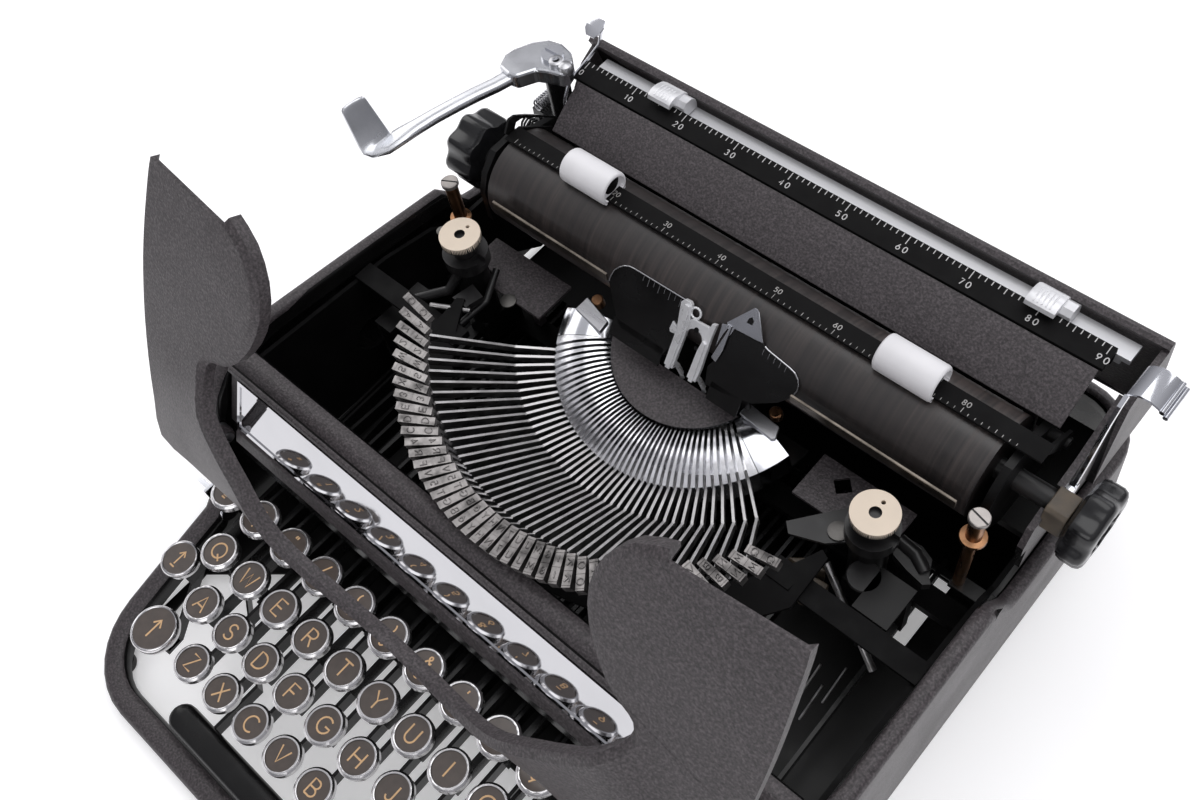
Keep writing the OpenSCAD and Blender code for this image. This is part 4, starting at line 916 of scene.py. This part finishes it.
blade = Batch()
blade.prism([(17.1, 9), (19.5, 8.2), (20.6, 14), (20.7, 24.3), (20.2, 24.4)], -0.2, 0.5, LEAN)
blade.prism([(16.9, 23.4), (20, 24.4), (18.6, 20), (17.4, 14)], 0, 0.7, LEAN)
blade.prism([(26.2, 35.2), (27, 35.3), (28.4, 34.6), (33.9, 25), (31, 24.6), (21.8, 23.9), (20.8, 20),
    (18.1, 24.5)], -0.5, 0.0, LEAN)
blade.make("card_blade", "chrome", "body", bevel=0.1)
window = Batch()
window.prism([(25.3, 28.6), (27.6, 28.8), (27.8, 30.4), (26.6, 31.6), (25.6, 30.6)], 0.0, 0.06, LEAN)
window.make("card_window", "gloss", "body")

cards = Batch()
LEFT_CARD = [(-34.6, 12), (-34.5, 14.6), (-33.7, 17.4), (-32.2, 19.4), (-30.2, 21.1), (-27.9, 22.1),
    (-25.3, 22.4), (-0.8, 22.8), (-0.6, 3), (-3, -3), (-24, -3), (-30, 4)]
RIGHT_CARD = [(20.8, 23.8), (33.8, 24.9), (34.8, 23.9), (36.4, 23.3), (46.4, 21.9), (48.9, 21.2),
    (50.7, 19.7), (51.7, 17.8), (52, 15.6), (51, 12), (47.2, 7.4), (38, 1), (27, -2), (18, -3),
    (16.4, 4), (18.6, 9)]
for outline in (LEFT_CARD, RIGHT_CARD):
    cards.prism(outline, -1.2, -0.6, LEAN)
for x0, x1 in ((-28, -3), (20, 34)):
    cards.box((x0, 61.2, 69.8), (x1, 63, 99))
    cards.prism([(x0, -8), (x1, -8), (x1, 0), (x0, 0)], -1.2, -0.6, LEAN)
cards.make("card_plates", "gloss", "body", bevel=0.15, stands_for="card_holders")
bars = Batch()
bars.box((-95, 62.2, 115), (-34, 63.4, 119))
bars.box((51.6, 62.2, 113), (118, 63.4, 117))
bars.make("card_bars", "bronze", "body", bevel=0.3)
wire = Batch()
wire.tube([LEAN @ Vector((x, y, -0.8)) for x, y in LEFT_CARD[:8]], 0.28, 6)
wire.tube([LEAN @ Vector((x, y, -0.8)) for x, y in RIGHT_CARD[2:10]], 0.28, 6)
ticks = [(-20.4 + PITCH * k, 22.2, 22.2 - (3.2 if k % 2 else 2)) for k in range(8)]
ticks += [(35 + PITCH * k, 23 - 0.3 * k, 20.6 - 0.3 * k) for k in range(5)]
for x, low, high in ticks:
    wire.tube([LEAN @ Vector((x, y, -0.55)) for y in (low, high)], 0.14, 6)
wire.make("card_wires", "satin", "body")


# Paper guide at the table's left end, and the bail's left arm

guide = Batch()
guide.tube([(-99.4, 139.4, 152), (-99.2, 137.6, 146.9), (-99, 135.4, 143), (-99, 128.3, 140.7),
    (-99, 120.7, 138.9), (-99, 115.7, 136.5), (-99, 112.4, 131.6), (-99, 111.8, 127)], 0.95, 8, 0.5,
    Vector((1, 0, 0)))
guide.loft([section((-100.2, y, z), Vector((1, 0, 0)), Vector((0, -0.5, 0.86)), w, 0.9, 12, 4)
            for y, z, w in ((132.4, 148.6, 4.5), (134, 150.2, 8), (136.6, 151.9, 9), (139.4, 152.4, 6))])
guide.make("paper_guide", "chrome", "carriage", smooth=True)
BAIL_Y, BAIL_Z = 87, 133.6  # axis of the bail's clips
arm = Batch()
rise = [(84, 132.4), (87.4, 137.6), (90.4, 137.2), (96, 133.2), (104.5, 126), (110.5, 120)]
arm.loft([[(-105.8, y, z), (-104.8, y, z), (-104.8, y + 3, z - 4), (-105.8, y + 3, z - 4)]
    for y, z in rise])
arm.make("bail_arm", "gloss", "bail", smooth=True)


# Bail clips: smooth white sleeves, finely knurled, round a dark core

for hand, x0, x1 in (("left", -72, -49), ("right", 71, 94)):
    sleeve, core = Batch(), Batch()
    rings = []
    for x, r in ((x0 + 1.6, 3.6), (x0 + 1.6, 5.6), (x0, 5.6), (x0, 6.1), (x0 + 0.5, 6.75), (x0 + 1.2, 7),
            (x1 - 1.2, 7), (x1 - 0.5, 6.75), (x1, 6.1), (x1, 5.6), (x1 - 1.6, 5.6), (x1 - 1.6, 3.6)):
        ring = []
        for k in range(73):
            a = math.radians(-27.5 + 235 * k / 72)
            knurl = 0.05 * (k % 2) if r > 6 else 0
            ring.append(Vector((x, BAIL_Y + (r - knurl) * math.cos(a), BAIL_Z + (r - knurl) * math.sin(a))))
        rings.append(ring)
    sleeve.loft(rings)
    for y in (81.4, 91.8):
        sleeve.box((x0, y, 129.9), (x1, y + 0.8, 131.6))
    sleeve.make("bail_sleeve_" + hand, "sleeve", "bail_roller_" + hand, smooth=True,
        stands_for="bail_roller_" + hand)
    core.lathe([(0, x0 + 1.3), (3.6, x0 + 1.3), (3.9, x0 + 1.5), (3.9, x1 - 1.5), (3.6, x1 - 1.3),
        (0, x1 - 1.3)], moved(0, BAIL_Y, BAIL_Z + 1.9) @ ALONG_X, 28)
    core.make("bail_core_" + hand, "matt", "bail_roller_" + hand, smooth=True)


# Margin stops: a saddle over the rail with a rolled, ribbed finger piece leaning over the scale

RAIL_Y, RAIL_Z = 131.5, 134.4
for hand, x0 in (("left", -65.5), ("right", 98.5)):
    x1 = x0 + 15
    stop = Batch()
    saddle = [(125.7, 140.4), (126.2, 142), (128, 143), (130.4, 143.3), (133, 142.6), (135.6, 141.4),
        (137.2, 139.8), (137.6, 137.6), (137.6, 134.4), (136.6, 134.4), (136.4, 137.4), (131.2, 137.8),
        (131, 134.4), (130, 134.4), (130, 138.6), (128.6, 140.2), (127.4, 140.2)]
    stop.loft([[(x, RAIL_Y + (y - RAIL_Y) * k, RAIL_Z + (z - RAIL_Z) * (0.985 if k < 1 else 1))
        for y, z in saddle] for x, k in ((x0, 0.96), (x0 + 0.6, 1), (x0 + 10.6, 1), (x0 + 11, 0.98))])
    stop.loft([[(x, y, z) for y, z in [(130, 134.4), (130, 139), (131.6, 141), (135, 140.8), (137, 139),
        (137.6, 137), (137.6, 134.4)]] for x in (x0 + 10.8, x1)])
    for k in range(5):
        stop.tube([(x0 + 2.6 + 1.5 * k, y, z) for y, z in ((127, 142.5), (129, 143.1), (131, 143.1),
            (133.2, 142.5))], 0.3, 8)
    stop.make("margin_saddle_" + hand, "alloy", "margin_stop_" + hand, smooth=True,
        stands_for="margin_stop_" + hand)


# Guide posts: a slotted head, a straight body and a flange on a thinner stem

heads, bodies, slots, feet = Batch(), Batch(), Batch(), Batch()
for x, top, flange, tilt in ((-117, 119, 97.5, 28), (127.5, 123, 109, -14)):
    stand = moved(x, 59.7, 0)
    bodies.lathe([(0, 72.4), (2.1, 72.4), (2.1, flange - 1.6), (4.5, flange - 1.6), (4.7, flange - 0.8),
        (4.5, flange), (2.8, flange + 0.4), (2.7, top - 2.2), (0, top - 2.2)], stand, 28)
    heads.lathe([(0, top - 2.2), (3.4, top - 2.2), (3.6, top - 1.8), (3.6, top - 0.3), (3.3, top),
        (0, top)], stand, 28)
    slots.box((-3.5, -0.35, top - 0.6), (3.5, 0.35, top + 0.03),
        stand @ Matrix.Rotation(math.radians(tilt), 4, "Z"))
feet.box((-144.1, 56.5, 70), (-114.6, 62.5, 72.4))
feet.box((125.2, 56.5, 70), (144.1, 62.5, 72.4))
bodies.make("post_bodies", "brass", "body", smooth=True, stands_for="guide_posts")
heads.make("post_heads", "head_steel", "body", smooth=True)
slots.make("post_slots", "gloss", "body")
feet.make("post_feet", "gloss", "body", bevel=0.2)


# Segment ends: the dome runs on past the last slot under a screwed clamp

SEG_IN, SEG_OUT, DOME_R = 34.9, 57.8, 30
middle = (SEG_IN + SEG_OUT) / 2
profile = [SEG_IN + (SEG_OUT - SEG_IN) * k / 14 for k in range(15)]
profile = [(r, math.sqrt(DOME_R ** 2 - (r - middle) ** 2) - 28.5)
    for r in profile] + [(SEG_OUT, -16), (SEG_IN, -16)]
caps = Batch()
for hand in (-1, 1):
    caps.loft([[RING @ (turned(r, hand * (61.3 + 1.4 * k)) + Vector((0, 0, z))) for r, z in profile]
        for k in range(10)])
caps.make("segment_ends", "chrome", "body", smooth=True, stands_for="segment_caps")
clamps = Batch()
for outline in ([(-50.4, -15.6), (-49.6, -8.8), (-35.6, -12.4), (-35.4, -18)],
        [(31.6, -14), (32, -8.7), (46.9, -9.9), (48.8, -14.6), (47.6, -15.6)]):
    clamps.prism(outline, 0.6, 3, RING)
clamps.make("segment_clamps", "satin", "body", bevel=0.3, stands_for="segment_screws")
screws = Batch()
for x, y in ((-45.6, -7.4), (42.4, -6)):
    screws.lathe([(0, -1.5), (2.5, -1.5), (2.6, 2.4), (2.2, 3), (0, 3)], RING @ moved(x, y, 0), 14)
screws.make("clamp_screws", "brass", "body", bevel=0.15)


# Ribbon mechanism and linkage parts below the deck, and dark sheets that stand partly for shade under the
# works and in the wall slot

# Dark sheets under the keys and the works: partly the shell's dark lower flange, partly painted shade where
# the floor would show through
TRAY_SIDE, TRAY_FRONT, TRAY_STEP, TRAY_BACK = 138, -85, -57, 140
tray = Batch()
tray.prism([(-101.3, TRAY_FRONT), (-135.2, -112.5), (-132.2, -133.7), (-133, -150), (-TRAY_SIDE, -150),
            (-139, TRAY_STEP), (TRAY_SIDE, TRAY_STEP), (TRAY_SIDE, TRAY_FRONT)], 5.2, 6)
for x0, x1, y0, y1 in ((-TRAY_SIDE, 109.5, TRAY_STEP, TRAY_BACK), (109.5, 118.5, TRAY_STEP, 42),
                       (109.5, 118.5, 84, TRAY_BACK), (118.5, TRAY_SIDE, TRAY_STEP, TRAY_BACK)):
    tray.box((x0, y0, 8), (x1, y1, 9))
tray.make("under_tray", "inside", "body")

works = Batch()
works.prism([(102.3, 56.6), (104.1, 58.9), (112, 59.5), (117.4, 57.4), (120, 51.5), (122.1, 49.3),
    (120, 47.4), (112.5, 48.7), (106, 50.6)], 76, 80)
works.tube([(118, 52, 79.4), (112, 55.4, 80.6), (104.6, 56.4, 80.4)], 2.6, 12)
works.lathe([(0, 84.6), (6, 84.6), (6.2, 85.4), (5.8, 86), (0, 86)], moved(104, 35.5, 0), 32)
works.prism([(70, 36.7), (84, 54.6), (92, 56), (92, 44), (85.8, 38.2), (73.5, 33.3)], 81.6, 83)
works.box((108, 30, 62), (120, 45, 64))
works.box((108, 28.4, 40), (109.4, 45, 62))
works.tube([(-112, 22, 84), (-100, 33, 88), (-97, 38, 96)], 2.2, 10)
works.tube([(-88, 26, 82), (-86, 40, 84), (-90, 52, 90)], 1.6, 10)
works.prism([(-94, 30), (-86, 30), (-84, 38), (-92, 40)], 88, 91)
works.make("mechanism_castings", "dark", "body", smooth=True, bevel=0.3)
rods = Batch()
rods.tube([(89.9, 33.6, 80), (105.8, 26, 70), (121.8, 18.3, 60)], 1.5, 12)
rods.tube([(-99, 22, 90.4), (-84.6, 30.6, 89)], 1.2, 10)
for x, y, z in ((100, -4, 40), (105, -2, 44), (109, -6, 38), (113, 2, 46), (96, -8, 36)):
    rods.tube([(x, y, z), (x + 1.5, y + 11, z + 15)], 0.5, 6)
rods.make("mechanism_rods", "bar_steel", "body", smooth=True)
blocks = Batch()
blocks.prism([(79.3, 25.9), (84.1, 31.3), (93, 32), (93.6, 24), (87.1, 21.8)], 60, 68)
blocks.prism([(76, 30), (84, 36), (90, 34), (84, 30)], 60, 72)
blocks.make("mechanism_blocks", "brown", "body", bevel=0.5)
end_block = Batch()
end_block.prism([(77.6, 104.4), (77.6, 115.6), (79, 117), (88, 117)] + arc(PLATEN_Y, PLATEN_Z, 5.7, 5.7, 70,
    235, 10), 140.4, 148.2, SIDEWAYS)
end_block.make("carriage_end_block", "brown", "carriage", bevel=0.4)
washers = Batch()
for x, y, z, r in ((86.7, 44.7, 83, 3.8), (-80, 46.5, 81.6, 3.4), (-126.4, 54, 86, 2.4)):
    ring = moved(x, y, z)
    washers.lathe([(r * 0.62, 0), (r, 0), (r, 0.8), (r * 0.62, 1)], ring, 28)
    washers.lathe([(0, 0), (r * 0.5, 0), (r * 0.5, 0.9), (0, 1)], ring, 20)
washers.make("mechanism_washers", "grey", "body", smooth=True)
bracket = Batch()
bracket.prism([(-8.3, 83.3), (-5.2, 83.9), (0.2, 81.8), (1.5, 78.8), (0.6, 74.6), (3.1, 74.2), (7.3, 76.3),
    (18, 55.9), (8.2, 57.4), (7.8, 61.9), (4.1, 66), (-0.1, 66.1), (-3, 68), (-5.1, 71.8)], -0.6, 0.6,
    moved(-140.6, 0, 0) @ SIDEWAYS)
bracket.make("wall_bracket", "alloy", "body", bevel=0.15)
# A near-black patch laid just off the shell's right wall in the outline of its slot: painted shade for the
# dark inside seen through the slot
shell = nodes["base_shell"]
rim = [(39.2 + 11.8 * k / 10, 90.6 + 7.4 * k / 10 + bow * 2.1 * math.sin(math.pi * k / 10))
       for bow, steps in ((1, range(0, 11)), (-1, range(9, 0, -1))) for k in steps]
on_wall = []
for y, z in [(45.1, 94.3), *rim]:
    hit, spot, _, _ = shell.ray_cast(pt(200, y, z), Vector((-1, 0, 0)))
    on_wall.append(machine(spot) + Vector((0.07, 0, 0)) if hit else Vector((147, y, z)))
slot = Batch()
slot.add(on_wall, [[0, 1 + k, 1 + (k + 1) % len(rim)] for k in range(len(rim))])
slot.make("wall_slot", "inside", "body")


# Studio: a pale floor and soft lights

FLOOR, FLOOR_HALF = (0.9, 0.895, 0.9), 4
ground = Shade("floor", FLOOR, 0.75, spec=0.2)
ground.paint(ground.noise(3, 3), (0.3, times(FLOOR, 0.985)), (0.7, FLOOR))
ground.set("Emission Color", (1, 0.995, 1, 1))
ground.set("Emission Strength", 0.3)
corners = [(x * FLOOR_HALF, y * FLOOR_HALF, 0) for x, y in ((-1, -1), (1, -1), (1, 1), (-1, 1))]
floor_mesh = bpy.data.meshes.new("floor")
floor_mesh.from_pydata(corners, [], [[0, 1, 2, 3]])
floor_mesh.materials.append(ground.mat)
floor = placed("floor", floor_mesh)


def softbox(name, place, target, size, power, color=(1, 1, 1)):
    data = bpy.data.lights.new(name, "AREA")
    data.shape = "RECTANGLE"
    data.size, data.size_y = size
    data.energy = power
    data.color = color
    obj = placed(name, data)
    obj.location = place
    obj.rotation_euler = (Vector(target) - Vector(place)).to_track_quat("-Z", "Y").to_euler()


softbox("overhead", (0.15, 0.35, 1.5), (0, 0, 0.05), (1.5, 1.1), 8.5)
softbox("left", (-1.3, 0.3, 0.9), (0, 0, 0.08), (1.0, 1.0), 5, (1, 0.99, 0.98))
softbox("back", (0.3, 1.5, 0.9), (0, 0.05, 0.1), (1.4, 0.8), 5.5, (0.98, 0.98, 1))
softbox("front", (0.6, -1.3, 1.0), (0, -0.05, 0.05), (1.2, 0.8), 5)

world = bpy.data.worlds.new("studio")
world.use_nodes = True
sky = world.node_tree
height = sky.nodes.new("ShaderNodeSeparateXYZ")
sky.links.new(sky.nodes.new("ShaderNodeTexCoord").outputs["Generated"], height.inputs[0])
fade = sky.nodes.new("ShaderNodeValToRGB")
for element, (place, color) in zip(fade.color_ramp.elements,
        ((0.05, (0.26, 0.26, 0.28, 1)), (0.85, (0.72, 0.72, 0.75, 1)))):
    element.position = place
    element.color = color
sky.links.new(height.outputs["Z"], fade.inputs["Fac"])
sky.links.new(fade.outputs["Color"], sky.nodes["Background"].inputs["Color"])
sky.nodes["Background"].inputs["Strength"].default_value = 0.8
bpy.context.scene.world = world
bpy.context.scene.view_settings.view_transform = "Standard"
bpy.context.scene.view_settings.look = "None"
bpy.context.scene.view_settings.exposure = 0.0
